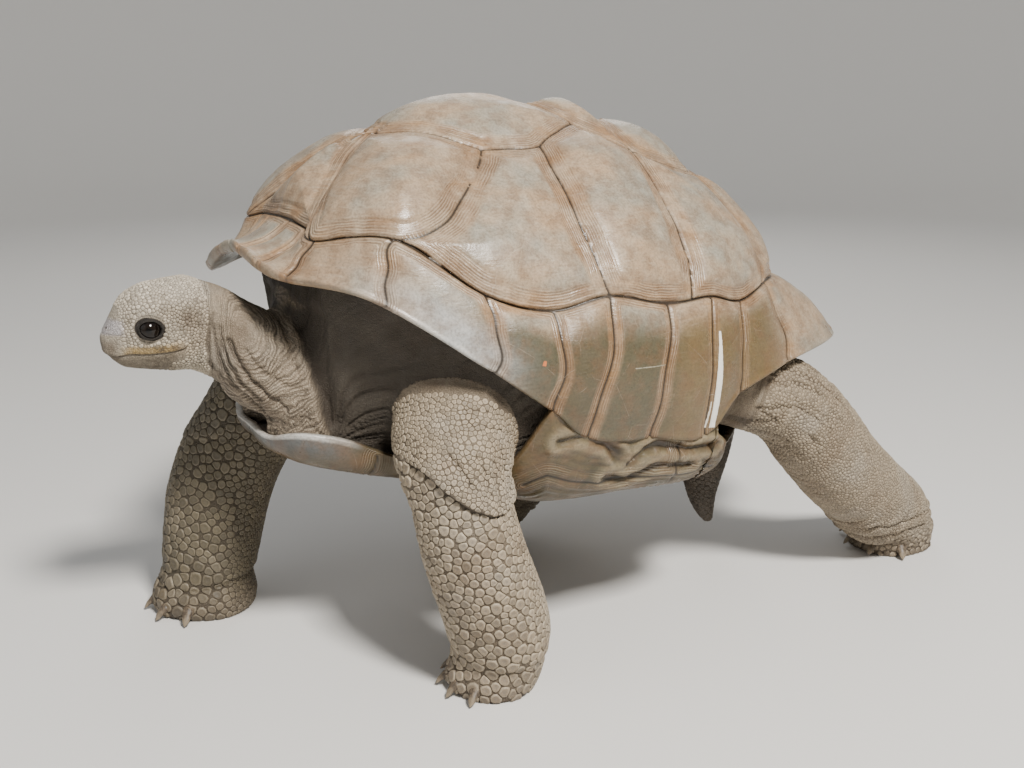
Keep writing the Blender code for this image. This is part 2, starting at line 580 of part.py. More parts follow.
def main():
    for thing in list(bpy.data.objects):
        bpy.data.objects.remove(thing, do_unlink=True)
    shell_look = material("shell", (0.30, 0.24, 0.17), 0.42)
    under_look = material("underside", (0.32, 0.27, 0.19), 0.50)
    skin_look = material("skin", (0.27, 0.24, 0.20), 0.80)
    beak_look = material("beak", (0.34, 0.27, 0.17), 0.50)
    claw_look = material("claw", (0.10, 0.09, 0.08), 0.50)
    eye_look = material("eye", (0.02, 0.016, 0.012), 0.08)

    top = carapace(shell_look)
    bottom = plastron(under_look)
    body = trunk(skin_look)
    throat = neck(skin_look)
    skull = head(skin_look)
    lower_jaw = jaw(beak_look)
    rear = tail(skin_look)
    x, y, z = EYE
    eyes = [ball("eye_l", (x, y, z), EYE_RADIUS, eye_look), ball("eye_r", (-x, y, z), EYE_RADIUS, eye_look)]
    sockets = [ball("socket_l", (x, y, z), EYE_RADIUS + GAP, None),
               ball("socket_r", (-x, y, z), EYE_RADIUS + GAP, None)]
    for socket in sockets:
        hide(socket)
    legs = []
    nails = []
    for name, stations in (("leg_fl", FORELEG_L), ("leg_fr", FORELEG_R),
                           ("leg_hl", HINDLEG_L), ("leg_hr", HINDLEG_R)):
        legs.append(limb(name, stations, skin_look))
        nails += claws(name, stations, claw_look)

    shell_cutters = [swollen(top), swollen(bottom)]
    cut(skull, *sockets)
    body_cutter = swollen(body)
    cut(throat, *shell_cutters, body_cutter)
    cut(rear, *shell_cutters, body_cutter)
    for leg in legs:
        cut(leg, *shell_cutters, body_cutter)
    leg_cutters = {leg.name: swollen(leg) for leg in legs}
    for nail in nails:
        cut(nail, leg_cutters["leg_" + nail.name[5:7]])
    set_on_origin([top, bottom, body, throat, skull, lower_jaw, rear, *eyes, *legs, *nails])


if __name__ == "__main__":
    main()
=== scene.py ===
"""The looks of the giant tortoise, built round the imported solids.

Shapes are worked out in the animal's own frame (midplane X = 0, floor Z = 0, head towards -Y, the
animal's left side towards +X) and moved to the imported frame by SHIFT.
"""
import bmesh
import bpy
import numpy as np
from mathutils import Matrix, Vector
from mathutils.bvhtree import BVHTree
from mathutils.kdtree import KDTree


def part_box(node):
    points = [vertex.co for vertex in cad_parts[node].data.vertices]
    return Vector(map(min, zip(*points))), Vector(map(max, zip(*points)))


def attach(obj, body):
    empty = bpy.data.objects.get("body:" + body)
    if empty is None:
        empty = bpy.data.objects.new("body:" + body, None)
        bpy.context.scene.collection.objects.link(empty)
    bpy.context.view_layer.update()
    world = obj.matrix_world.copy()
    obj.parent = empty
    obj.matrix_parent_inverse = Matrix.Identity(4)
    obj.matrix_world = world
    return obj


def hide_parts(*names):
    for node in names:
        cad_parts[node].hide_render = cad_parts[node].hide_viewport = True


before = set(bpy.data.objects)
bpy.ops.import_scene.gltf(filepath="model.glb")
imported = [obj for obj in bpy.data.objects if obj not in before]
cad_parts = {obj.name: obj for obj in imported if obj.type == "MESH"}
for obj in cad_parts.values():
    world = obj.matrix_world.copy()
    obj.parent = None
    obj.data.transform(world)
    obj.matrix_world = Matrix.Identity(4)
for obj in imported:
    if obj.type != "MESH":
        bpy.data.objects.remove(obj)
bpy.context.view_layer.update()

# ---------------------------------------------------------------- sizes shared with the solids
PLATE = 0.013
SCUTES = 13
SEAM_TOP = np.array([
    (0.000, -0.427, 0.746), (0.045, -0.425, 0.744), (0.108, -0.420, 0.738), (0.167, -0.430, 0.728),
    (0.262, -0.342, 0.736), (0.320, -0.222, 0.653), (0.338, -0.120, 0.622), (0.345, -0.020, 0.636),
    (0.342, 0.090, 0.613), (0.330, 0.185, 0.614), (0.303, 0.270, 0.594), (0.248, 0.368, 0.608),
    (0.140, 0.470, 0.598), (0.000, 0.508, 0.595)])
RIM = np.array([
    (0.000, -0.505, 0.708), (0.050, -0.507, 0.708), (0.122, -0.500, 0.694), (0.175, -0.476, 0.680),
    (0.273, -0.380, 0.653), (0.346, -0.229, 0.549), (0.362, -0.130, 0.475), (0.358, -0.060, 0.420),
    (0.355, 0.065, 0.402), (0.352, 0.165, 0.388), (0.345, 0.235, 0.445), (0.317, 0.360, 0.478),
    (0.200, 0.580, 0.485), (0.000, 0.636, 0.472)])
FLARE = np.array([-0.010, -0.010, -0.012, -0.008, 0.000, 0.012, 0.022, 0.026,
                  0.026, 0.022, 0.014, 0.006, 0.014, 0.012])
LOW_CORNER = (2.4, 1.4, (-0.006, -0.012, -0.036))
MIDLINE = np.array([(-0.300, 0.864), (-0.150, 0.905), (-0.025, 0.911), (0.090, 0.905),
                    (0.186, 0.872), (0.300, 0.825), (0.380, 0.773)])
DOME_POWER = np.array([1.20, 1.20, 1.22, 1.28, 1.34, 1.40, 1.42, 1.42, 1.42, 1.40, 1.36, 1.30,
                       1.24, 1.20])
SPINE_ENDS = (-0.300, 0.380)
SEAMS = {
    "v1_v2": [(0.0, 1.00), (1.6, 0.84)],
    "v2_v3": [(6.8, 1.00), (7.6, 0.76)],
    "v3_v4": [(8.9, 1.00), (8.9, 0.66)],
    "v4_v5": [(13.0, 1.00), (11.1, 0.66)],
    "v1_c1": [(1.6, 0.84), (2.0, 0.45), (3.0, 0.00)],
    "v2_c1": [(1.6, 0.84), (5.2, 0.62)],
    "v2_c2": [(5.2, 0.62), (6.5, 0.64)],
    "v2_c3": [(6.5, 0.64), (7.6, 0.76)],
    "v3_c3": [(7.6, 0.76), (8.9, 0.66)],
    "v4_c4": [(8.9, 0.66), (11.1, 0.66)],
    "v5_c4": [(11.1, 0.66), (11.2, 0.30), (10.8, 0.00)],
    "c1_c2": [(5.2, 0.62), (4.0, 0.00)],
    "c2_c3": [(6.5, 0.64), (7.0, 0.00)],
    "c3_c4": [(8.9, 0.66), (8.5, 0.00)],
}
SCUTE_RISE = 0.020
SCUTE_SLOPE = 0.055
PLASTRON_EDGE = np.array([
    (0.0, 0.000, -0.498, 0.411), (1.0, 0.085, -0.493, 0.410), (2.0, 0.155, -0.457, 0.427),
    (2.7, 0.175, -0.400, 0.415), (3.6, 0.190, -0.310, 0.374), (4.6, 0.240, -0.215, 0.346),
    (5.4, 0.318, -0.175, 0.385), (6.0, 0.362, -0.130, 0.475), (9.5, 0.352, 0.185, 0.392),
    (10.2, 0.318, 0.242, 0.352), (11.0, 0.245, 0.275, 0.306), (11.8, 0.205, 0.345, 0.314),
    (12.4, 0.130, 0.425, 0.335), (12.8, 0.060, 0.437, 0.345), (13.0, 0.000, 0.405, 0.338)])
BRIDGE = (6.0, 9.5)
KEEL = np.array([(-0.490, 0.398), (-0.380, 0.370), (-0.250, 0.332), (-0.100, 0.312), (0.050, 0.308),
                 (0.200, 0.303), (0.300, 0.305), (0.390, 0.330)])
BELLY_SAG = np.array([(-0.490, 0.0), (-0.330, 0.0), (-0.180, 0.006), (0.000, 0.020), (0.220, 0.022),
                      (0.300, 0.012), (0.390, 0.0)])
LEGS = {
    "leg_fl": [(0.200, -0.190, 0.500, 0.100, 0.090), (0.255, -0.245, 0.430, 0.098, 0.085),
               (0.292, -0.262, 0.385, 0.088, 0.082), (0.306, -0.262, 0.345, 0.077, 0.073),
               (0.314, -0.254, 0.290, 0.079, 0.069), (0.317, -0.238, 0.230, 0.082, 0.070),
               (0.313, -0.214, 0.165, 0.083, 0.074), (0.306, -0.195, 0.105, 0.082, 0.076),
               (0.296, -0.190, 0.060, 0.076, 0.072), (0.290, -0.196, 0.025, 0.076, 0.076),
               (0.289, -0.198, 0.000, 0.070, 0.072)],
    "leg_fr": [(-0.185, -0.270, 0.500, 0.100, 0.090), (-0.200, -0.345, 0.440, 0.100, 0.090),
               (-0.208, -0.402, 0.385, 0.097, 0.086), (-0.214, -0.440, 0.335, 0.093, 0.079),
               (-0.220, -0.472, 0.280, 0.093, 0.078), (-0.224, -0.495, 0.220, 0.093, 0.078),
               (-0.226, -0.508, 0.160, 0.090, 0.080), (-0.228, -0.518, 0.105, 0.086, 0.080),
               (-0.230, -0.524, 0.068, 0.082, 0.078), (-0.231, -0.532, 0.032, 0.094, 0.088),
               (-0.231, -0.532, 0.000, 0.090, 0.084)],
    "leg_hl": [(0.160, 0.250, 0.455, 0.100, 0.095), (0.200, 0.345, 0.420, 0.096, 0.084),
               (0.232, 0.447, 0.374, 0.090, 0.082), (0.240, 0.515, 0.305, 0.084, 0.086),
               (0.236, 0.580, 0.236, 0.083, 0.085), (0.224, 0.648, 0.178, 0.086, 0.085),
               (0.207, 0.715, 0.124, 0.087, 0.088), (0.192, 0.777, 0.080, 0.083, 0.087),
               (0.182, 0.805, 0.040, 0.082, 0.088), (0.180, 0.808, 0.000, 0.078, 0.086)],
    "leg_hr": [(-0.150, 0.290, 0.460, 0.090, 0.095), (-0.215, 0.320, 0.395, 0.090, 0.098),
               (-0.252, 0.318, 0.330, 0.086, 0.094), (-0.262, 0.273, 0.262, 0.084, 0.088),
               (-0.256, 0.205, 0.196, 0.086, 0.086), (-0.244, 0.125, 0.140, 0.087, 0.086),
               (-0.232, 0.065, 0.090, 0.084, 0.086), (-0.224, 0.040, 0.045, 0.080, 0.086),
               (-0.222, 0.036, 0.000, 0.077, 0.084)],
}
BROAD = {"leg_fl": (0.80, 0.60, 0.0), "leg_fr": (0.55, 0.83, 0.0),
         "leg_hl": (1.0, 0.0, 0.0), "leg_hr": (1.0, 0.0, 0.0)}
# Neck: (y, middle height, half height, half width). It starts in the trunk and ends in the head.
NECK = [(-0.300, 0.520, 0.120, 0.140), (-0.380, 0.505, 0.096, 0.132), (-0.430, 0.502, 0.086, 0.122),
        (-0.480, 0.520, 0.092, 0.104), (-0.520, 0.545, 0.094, 0.088), (-0.553, 0.574, 0.079, 0.068),
        (-0.590, 0.590, 0.058, 0.050)]
# The head with its closed jaw: (y, top, bottom, half width).
HEAD = [(-0.7165, 0.583, 0.567, 0.008), (-0.712, 0.592, 0.553, 0.016), (-0.705, 0.603, 0.545, 0.023),
        (-0.697, 0.618, 0.536, 0.029), (-0.687, 0.634, 0.529, 0.035), (-0.674, 0.646, 0.5255, 0.042),
        (-0.660, 0.653, 0.523, 0.048), (-0.645, 0.658, 0.5205, 0.053), (-0.628, 0.660, 0.518, 0.057),
        (-0.612, 0.662, 0.5165, 0.060), (-0.5985, 0.663, 0.5165, 0.061), (-0.585, 0.664, 0.514, 0.062),
        (-0.570, 0.660, 0.506, 0.062), (-0.553, 0.652, 0.501, 0.058), (-0.530, 0.640, 0.510, 0.050)]
EYE = np.array([0.0435, -0.651, 0.5945])
TAIL = [(0.350, 0.430, 0.085), (0.420, 0.370, 0.078), (0.450, 0.300, 0.066), (0.452, 0.230, 0.056),
        (0.445, 0.170, 0.047), (0.446, 0.120, 0.034), (0.456, 0.080, 0.022), (0.468, 0.052, 0.010)]
TRUNK_LEAVES = np.array([-0.16, -0.16, -0.08, 0.20, 0.62, 0.80, 0.80, 0.80, 0.80, 0.80, 0.62, 0.35,
                         0.05, -0.05])
SKIN_BULGE = np.array([0.000, 0.000, 0.005, 0.015, 0.022, 0.018, 0.0, 0.0, 0.0, 0.0, 0.010, 0.018,
                       0.000, 0.000])
CLAWS = {"fl": (5, (190.0, 310.0), 0.034, 0.0115), "fr": (5, (195.0, 325.0), 0.036, 0.0125),
         "hl": (4, (215.0, 330.0), 0.032, 0.0125), "hr": (4, (215.0, 325.0), 0.032, 0.0125)}

eye_middles = [np.mean(np.array(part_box(name)), axis=0) for name in ("eye_l", "eye_r")]
SHIFT = np.mean(eye_middles, axis=0) - np.array([0.0, EYE[1], EYE[2]])


# ---------------------------------------------------------------- numbers
def smooth_curve(table, at):
    """Values of a table of rows (parameter, value, ...) at the given parameters, as a smooth curve."""
    table = np.asarray(table, float)
    at = np.asarray(at, float)
    knots, values = table[:, 0], table[:, 1:]
    slopes = np.gradient(values, knots, axis=0)
    span = np.clip(np.searchsorted(knots, at, side="right") - 1, 0, len(knots) - 2)
    width = knots[span + 1] - knots[span]
    s = np.clip((at - knots[span]) / width, 0.0, 1.0)[..., None]
    width = width[..., None]
    return ((2 * s ** 3 - 3 * s ** 2 + 1) * values[span] + (s ** 3 - 2 * s ** 2 + s) * width * slopes[span]
            + (-2 * s ** 3 + 3 * s ** 2) * values[span + 1] + (s ** 3 - s ** 2) * width * slopes[span + 1])


def bordered(points):
    return np.column_stack([np.arange(len(points)), points])


def smoothstep(low, high, value):
    t = np.clip((value - low) / (high - low), 0.0, 1.0)
    return t * t * (3 - 2 * t)


def bell(value, width):
    return np.exp(-(value / width) ** 2)


def unit(vectors):
    size = np.linalg.norm(vectors, axis=-1, keepdims=True)
    return vectors / np.where(size < 1e-12, 1.0, size)


def noise(points, size, seed=0, octaves=1):
    """Smooth noise from -1 to 1, with lumps about a given size across; size may differ by axis."""
    total, strength, weight = 0.0, 1.0, 0.0
    scaled = np.asarray(points) / np.asarray(size)
    for octave in range(octaves):
        cell = np.floor(scaled).astype(np.int64)
        f = scaled - cell
        f = f * f * (3 - 2 * f)
        value = 0.0
        for corner in range(8):
            step = np.array([corner & 1, corner >> 1 & 1, corner >> 2 & 1])
            key = ((cell + step) * np.array([73856093, 19349663, 83492791])).sum(axis=-1)
            key = key + (seed + octave) * 668265263
            key = (key ^ (key >> 15)) * 2246822519 & 0xffffffff
            key = (key ^ (key >> 13)) * 3266489917 & 0xffffffff
            key ^= key >> 16
            value = value + key / 4294967295.0 * np.prod(np.where(step, f, 1 - f), axis=-1)
        total = total + strength * (2 * value - 1)
        weight += strength
        strength *= 0.5
        scaled = scaled * 2.03 + 17.1
    return total / weight


def colour(red, green, blue):
    """A display colour (0 to 255) as linear light."""
    c = np.array([red, green, blue]) / 255
    return np.where(c <= 0.04045, c / 12.92, ((c + 0.055) / 1.055) ** 2.4)


def mix(first, second, share):
    share = np.asarray(share)[..., None]
    return first * (1 - share) + second * share


def painted(base, *layers):
    """A colour with others laid over it in turn, each given with its share."""
    for tone, share in layers:
        base = mix(base, tone, share)
    return base


def turns(count):
    """Angles evenly round a whole turn."""
    return np.arange(count) * 2 * np.pi / count


# ---------------------------------------------------------------- meshes
def placed(name, data):
    """A new object, linked to the scene."""
    made = bpy.data.objects.new(name, data)
    bpy.context.scene.collection.objects.link(made)
    return made


def mesh_object(name, points, faces, attributes=None):
    """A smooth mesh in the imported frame; faces is one array of triangles or quads, or a list of arrays."""
    mesh = bpy.data.meshes.new(name)
    points = np.asarray(points, float) + SHIFT
    blocks = faces if isinstance(faces, list) else [faces]
    loops = np.concatenate([block.ravel() for block in blocks]).astype(np.int32)
    sizes = np.concatenate([np.full(len(block), block.shape[1]) for block in blocks])
    mesh.vertices.add(len(points))
    mesh.vertices.foreach_set("co", points.ravel())
    mesh.loops.add(len(loops))
    mesh.loops.foreach_set("vertex_index", loops)
    mesh.polygons.add(len(sizes))
    mesh.polygons.foreach_set("loop_start", np.concatenate([[0], np.cumsum(sizes)[:-1]]).astype(np.int32))
    mesh.update(calc_edges=True)
    for key, values in (attributes or {}).items():
        set_attribute(mesh, key, values)
    mesh.shade_smooth()
    return placed(name, mesh)


def set_attribute(mesh, key, values):
    values = np.asarray(values, float)
    if values.ndim == 1:
        mesh.attributes.new(key, "FLOAT", "POINT").data.foreach_set("value", values)
    else:
        rgba = np.concatenate([values, np.ones((len(values), 1))], axis=1)
        mesh.attributes.new(key, "FLOAT_COLOR", "POINT").data.foreach_set("color", rgba.ravel())


def strips(rows, columns):
    """Quads between neighbouring closed rows of points."""
    row, column = np.meshgrid(np.arange(rows - 1), np.arange(columns), indexing="ij")
    a = row * columns + column
    b = row * columns + (column + 1) % columns
    return np.stack([a, b, b + columns, a + columns], axis=-1).reshape(-1, 4)


def tidy(made):
    """Merges the points that coincide and turns the faces outwards."""
    work = bmesh.new()
    work.from_mesh(made.data)
    bmesh.ops.remove_doubles(work, verts=work.verts, dist=1e-6)
    bmesh.ops.recalc_face_normals(work, faces=work.faces)
    if work.calc_volume(signed=True) < 0.0:
        bmesh.ops.reverse_faces(work, faces=work.faces)
    work.to_mesh(made.data)
    work.free()
    made.data.shade_smooth()


# ---------------------------------------------------------------- the shell's shape
def seam_top(station):
    return smooth_curve(bordered(SEAM_TOP), station)


def rim(station):
    return smooth_curve(bordered(RIM), station)


def spine_point(station):
    along = seam_top(station)[..., 1]
    first, last = SEAM_TOP[0, 1], SEAM_TOP[-1, 1]
    share = 0.5 * np.asarray(station) / SCUTES + 0.5 * (along - first) / (last - first)
    y = SPINE_ENDS[0] + (SPINE_ENDS[1] - SPINE_ENDS[0]) * share
    height = smooth_curve(MIDLINE, y)[..., 0]
    return np.stack([np.zeros_like(y), y, height], axis=-1)


def dome(station, height):
    foot, top = seam_top(station), spine_point(station)
    angle = height * np.pi / 2
    power = 2 / smooth_curve(bordered(DOME_POWER[:, None]), station)[..., 0]
    inwards = 1.0 - np.cos(angle).clip(0.0, 1.0) ** power
    upwards = np.sin(angle).clip(0.0, 1.0) ** power
    return foot + (top - foot) * np.stack([inwards, inwards, upwards], axis=-1)


def marginal(station, drop):
    top, foot = seam_top(station), rim(station)
    chord = foot - top
    before, after = rim(np.clip(station - 0.5, 0, SCUTES)), rim(np.clip(station + 0.5, 0, SCUTES))
    out = unit(np.cross(after - before, chord))
    bulge = smooth_curve(bordered(FLARE[:, None]), station) * (4 * drop * (1 - drop))[..., None]
    return top + chord * drop[..., None] - out * bulge


def shell_point(station, level, side):
    """A point of the smooth shell: level 1 on the midline, 0 at the marginals, -1 on the free edge."""
    station, level, side = np.broadcast_arrays(np.asarray(station, float), level, side)
    point = np.where((level >= 0)[..., None], dome(station, level.clip(0, 1)),
                     marginal(station, (-level).clip(0, 1)))
    point[..., 0] *= side
    middle, reach, shift = LOW_CORNER
    share = (-level).clip(0, 1) * np.exp(-((station - middle) / reach) ** 2) * (side < 0)
    return point + share[..., None] * np.array(shift)


def round_columns(per_scute):
    """Stations and sides of the columns all round the shell."""
    half = np.linspace(0, SCUTES, SCUTES * per_scute + 1)
    stations = np.concatenate([half, half[-2:0:-1]])
    sides = np.concatenate([np.ones(len(half)), -np.ones(len(half) - 2)])
    return stations, sides


def on_midline(grid, half, *rows):
    """Puts a shell grid's two middle columns, and the given rows, on the midplane."""
    grid[:, [0, half], 0] = 0.0
    grid[list(rows), :, 0] = 0.0


def outward(grid, middle_height):
    along = np.roll(grid, -1, axis=1) - np.roll(grid, 1, axis=1)
    down = np.gradient(grid, axis=0)
    out = unit(np.cross(along, down))
    middle = np.zeros_like(grid)
    middle[..., 1] = grid[..., 1].clip(*SPINE_ENDS)
    middle[..., 2] = middle_height
    away = np.sign(np.sum(out * (grid - middle), axis=-1, keepdims=True))
    out *= np.where(away == 0, 1.0, away)
    out[0] = (0.0, 0.0, 1.0)
    return out


def inside(grid, depth, half):
    moved = grid - outward(grid, 0.45) * depth
    side = np.sign(grid[..., 0])
    moved[..., 0] = side * np.maximum(side * moved[..., 0], 0.25 * abs(grid[..., 0]))
    on_midline(moved, half, 0)
    return moved


def chain(name, count=120):
    knots = np.array(SEAMS[name])
    table = np.column_stack([np.linspace(0, 1, len(knots)), knots])
    return smooth_curve(table, np.linspace(0, 1, count))


class Lines:
    """Polylines on a surface, and how far points are from them."""

    def __init__(self, lines):
        self.starts = np.concatenate([line[:-1] for line in lines])
        self.ends = np.concatenate([line[1:] for line in lines])
        middles = (self.starts + self.ends) / 2
        self.tree = KDTree(len(middles))
        for index, point in enumerate(middles):
            self.tree.insert(point, index)
        self.tree.balance()

    def nearest(self, points):
        """Each point's distance to the lines, and the nearest place on them."""
        flat = points.reshape(-1, 3)
        found = np.array([[hit[1] for hit in self.tree.find_n(point, 3)] for point in flat])
        start, end = self.starts[found], self.ends[found]
        run = end - start
        share = np.sum((flat[:, None] - start) * run, axis=-1) / np.maximum(np.sum(run * run, axis=-1), 1e-12)
        place = start + run * share.clip(0, 1)[..., None]
        away = np.linalg.norm(flat[:, None] - place, axis=-1)
        best = away.argmin(axis=1)
        index = np.arange(len(flat))
        shape = points.shape[:-1]
        return away[index, best].reshape(shape), place[index, best].reshape(points.shape)


def in_polygon(x, y, polygon):
    found = np.zeros(x.shape, bool)
    for (x0, y0), (x1, y1) in zip(polygon, np.roll(polygon, -1, axis=0)):
        if y0 != y1:
            found ^= ((y0 > y) != (y1 > y)) & (x < (x1 - x0) * (y - y0) / (y1 - y0) + x0)
    return found


# Each scute's border as (seam, direction along it), with extra corners.
SCUTE_BORDERS = {
    "v1": [("v1_v2", 1), ("v1_c1", 1), (0.0, -0.001)],
    "v2": [("v1_v2", 1), ("v2_c1", 1), ("v2_c2", 1), ("v2_c3", 1), ("v2_v3", -1)],
    "v3": [("v2_v3", 1), ("v3_c3", 1), ("v3_v4", -1)],
    "v4": [("v3_v4", 1), ("v4_c4", 1), ("v4_v5", -1)],
    "v5": [("v4_v5", 1), ("v5_c4", 1), (13.0, -0.001)],
    "c1": [("v1_c1", -1), ("v2_c1", 1), ("c1_c2", 1)],
    "c2": [("c1_c2", -1), ("v2_c2", 1), ("c2_c3", 1)],
    "c3": [("c2_c3", -1), ("v2_c3", 1), ("v3_c3", 1), ("c3_c4", 1)],
    "c4": [("c3_c4", -1), ("v4_c4", 1), ("v5_c4", 1)],
}


def scute_numbers(stations, levels, sides):
    """Which scute each point of the shell is on."""
    number = np.where(levels < 0, 40 + np.floor(stations * 0.99999), 0)
    number = number + np.where((levels < 0) & (sides < 0), 20, 0)
    for index, (name, parts) in enumerate(SCUTE_BORDERS.items()):
        border = []
        for first, second in parts:
            border += [(first, second)] if isinstance(first, float) else list(chain(first, 40)[::second])
        found = in_polygon(stations, levels, np.array(border)) & (levels >= 0)
        own = index + 1 + np.where((sides < 0) & (name[0] == "c"), 20, 0)
        number = np.where(found, own, number)
    return number


def random_of(number, seed):
    """A steady random value from 0 to 1 for each whole number."""
    return np.modf(np.abs(np.sin(number * 12.9898 + seed * 78.233) * 43758.5453))[0]


TAN, PALE = colour(166, 145, 120), colour(196, 184, 164)
BROWN, OCHRE = colour(120, 88, 60), colour(160, 118, 72)
GREY, OLIVE = colour(140, 140, 130), colour(64, 61, 40)
DARK = colour(46, 38, 30)


def border_bend(station, level):
    """How far, in stations, the borders between the marginals stray sideways on their way down."""
    first = np.floor(station)
    share = station - first

    def bend(border):
        inner = (border > 0.5) & (border < SCUTES - 0.5)
        wave = 0.055 * (np.sin(4 * -level + border) - np.sin(border))
        wave = wave + 0.020 * np.sin(-level * 11 + 2.3 * border)
        return np.where(inner & (level < 0), wave, 0.0)

    return bend(first) * (1 - share) + bend(first + 1) * share


def carapace():
    per_scute, dome_rows, band_rows = 26, 158, 44
    stations, sides = round_columns(per_scute)
    half = SCUTES * per_scute
    levels = np.concatenate([np.linspace(1, 0, dome_rows), -np.linspace(0, 1, band_rows)[1:]])
    station, level = np.meshgrid(stations, levels)
    side = np.broadcast_to(sides, station.shape)
    grid = shell_point(station + border_bend(station, level), level, side)
    out = outward(grid, 0.45)

    on_side = [shell_point(*chain(name, 260).T, s) for name in SEAMS for s in (1.0, -1.0)]
    on_side += [shell_point(np.linspace(0, SCUTES, 1600), 0.0, s) for s in (1.0, -1.0)]
    down = -np.linspace(0, 1, 90)
    on_side += [shell_point(k + border_bend(np.full(90, float(k)), down), down, s)
                for k in range(1, SCUTES) for s in (1.0, -1.0)]
    lines = Lines(on_side)
    wobble = np.stack([noise(grid, 0.045, seed) for seed in (1, 2, 3)], axis=-1) * 0.0035
    wobble *= smoothstep(-0.03, 0.05, level)[..., None]
    away, place = lines.nearest(grid + wobble)
    place -= wobble
    step_down = np.linalg.norm(np.gradient(grid, axis=0), axis=-1)
    step_along = np.linalg.norm(np.roll(grid, -1, axis=1) - grid, axis=-1)
    reach = 0.53 * np.maximum(step_down, step_along).clip(0.0, 0.006)
    snap = away < reach
    snap[[0, -1]] = False
    grid = np.where(snap[..., None], place, grid)
    away = np.where(snap, 0.0, away)
    dome_part = smoothstep(-0.02, 0.03, level)

    number = scute_numbers(station, level, side)
    chance = random_of(number, 1)
    lumps = noise(grid, 0.05, 5, 3)
    fine = noise(grid, 0.012, 9, 2)
    border = 0.030 * dome_part + 0.016 * (1 - dome_part)
    border = border * (1.0 + 0.25 * noise(grid, 0.08, 11))
    plateau = smoothstep(0.72, 1.05, away / border)
    rise = SCUTE_RISE * (1.0 - np.exp(-(away / SCUTE_SLOPE) ** 1.5)) * dome_part
    rise += 0.0040 * (1 - dome_part) * (1.0 - np.exp(-(away / 0.020) ** 1.5))
    rise += -0.0030 * bell(away, 0.0030) + 0.0014 * bell(away - 0.0065, 0.0038)
    rise += 0.0022 * plateau * dome_part + 0.0010 * plateau * (1 - dome_part)
    waves = np.sin(2 * np.pi * away / 0.0125 + 2.2 * noise(grid, 0.06, 13))
    rise += 0.0006 * waves * (1 - plateau) * smoothstep(0.004, 0.010, away)
    ribs = np.sin(station * 2 * np.pi * 11 + 3 * lumps) * bell(level - 0.03, 0.06) * (level > -0.02)
    rise += 0.0005 * ribs * smoothstep(0.003, 0.008, away)
    rise += 0.0011 * lumps + 0.00035 * fine
    edge_roll = -level * smoothstep(0.93, 1.0, -level)
    rise += 0.0025 * edge_roll
    outer = grid + out * rise[..., None]
    on_midline(outer, half, 0)

    # Colours: warm bands along the seams, greyer worn middles, olive low marginals.
    grey_share = smoothstep(-0.25, 0.45, noise(grid, (0.05, 0.09, 0.06), 21, 3) + 0.5 * (chance - 0.5))
    warm = smoothstep(-0.2, 0.5, noise(grid, (0.03, 0.07, 0.035), 23, 3))
    worn = smoothstep(0.35, 0.9, noise(grid, (0.04, 0.03, 0.05), 27, 2))
    start = 0.12 - 0.10 * smoothstep(5.8, 6.6, station)
    low = smoothstep(start, start + 0.28, -level)
    low = low * smoothstep(4.2, 5.4, station) * (1 - smoothstep(10.4, 11.2, station))
    # A pale patch on the near front marginals: partly their own blue-grey tone, partly a painted sheen.
    blue_grey_and_sheen = bell(station - 4.6, 0.55) * smoothstep(0.30, 0.75, -level)
    tint = painted(
        TAN, (GREY, 0.75 * grey_share * plateau),
        (OCHRE, 0.55 * warm * (1 - 0.6 * plateau)),
        (BROWN, 0.50 * (1 - plateau) * smoothstep(0.1, 0.7, noise(grid, 0.03, 25, 2) + 0.35)),
        (OLIVE, 0.88 * low * (0.35 + 0.65 * plateau)),
        (OCHRE * 0.60, 0.50 * low * (1 - plateau)),
        (colour(122, 100, 64), 0.55 * low * smoothstep(7.9, 8.5, station)),
        (PALE, 0.40 * worn * (1 - low) * plateau),
        (colour(190, 192, 192), 0.75 * blue_grey_and_sheen))
    tint = tint * (1.0 + 0.16 * (chance - 0.5) + 0.10 * fine)[..., None]
    tint = tint * (1.0 - 0.55 * bell(away, 0.0022))[..., None]

    inner_levels = np.concatenate([-np.linspace(1, 0, 9), np.linspace(0, 1, 14)[1:]])
    s2, l2 = np.meshgrid(stations, inner_levels[::-1])
    inner = inside(shell_point(s2, l2, np.broadcast_to(sides, s2.shape)), PLATE, half)[::-1]
    last, first = outer[-1], inner[0]
    over = (last + first) / 2
    drop_way = unit(outer[-1] - outer[-4]) * PLATE * 0.34
    lip = [over + (last - over) * np.cos(a) + drop_way * np.sin(a) for a in (0.8, 1.57, 2.35)]
    rows = np.concatenate([outer, np.stack(lip), inner])
    extra = len(rows) - len(outer)
    under = np.broadcast_to(mix(OLIVE, colour(126, 122, 82), 0.6), (extra, *tint.shape[1:])).copy()
    under *= (0.85 + 0.25 * noise(rows[len(outer):], 0.03, 31, 2))[..., None]
    under[:4] = tint[-1]
    colours = np.concatenate([tint, under])
    seam = np.concatenate([away, np.full((extra, away.shape[1]), 0.05)])
    plateau = np.concatenate([plateau, np.ones((extra, away.shape[1]))])
    made = mesh_object("shell_top", rows.reshape(-1, 3), strips(len(rows), rows.shape[1]),
                       {"tint": colours.reshape(-1, 3), "seam": seam.ravel(), "plateau": plateau.ravel()})
    tidy(made)
    return made


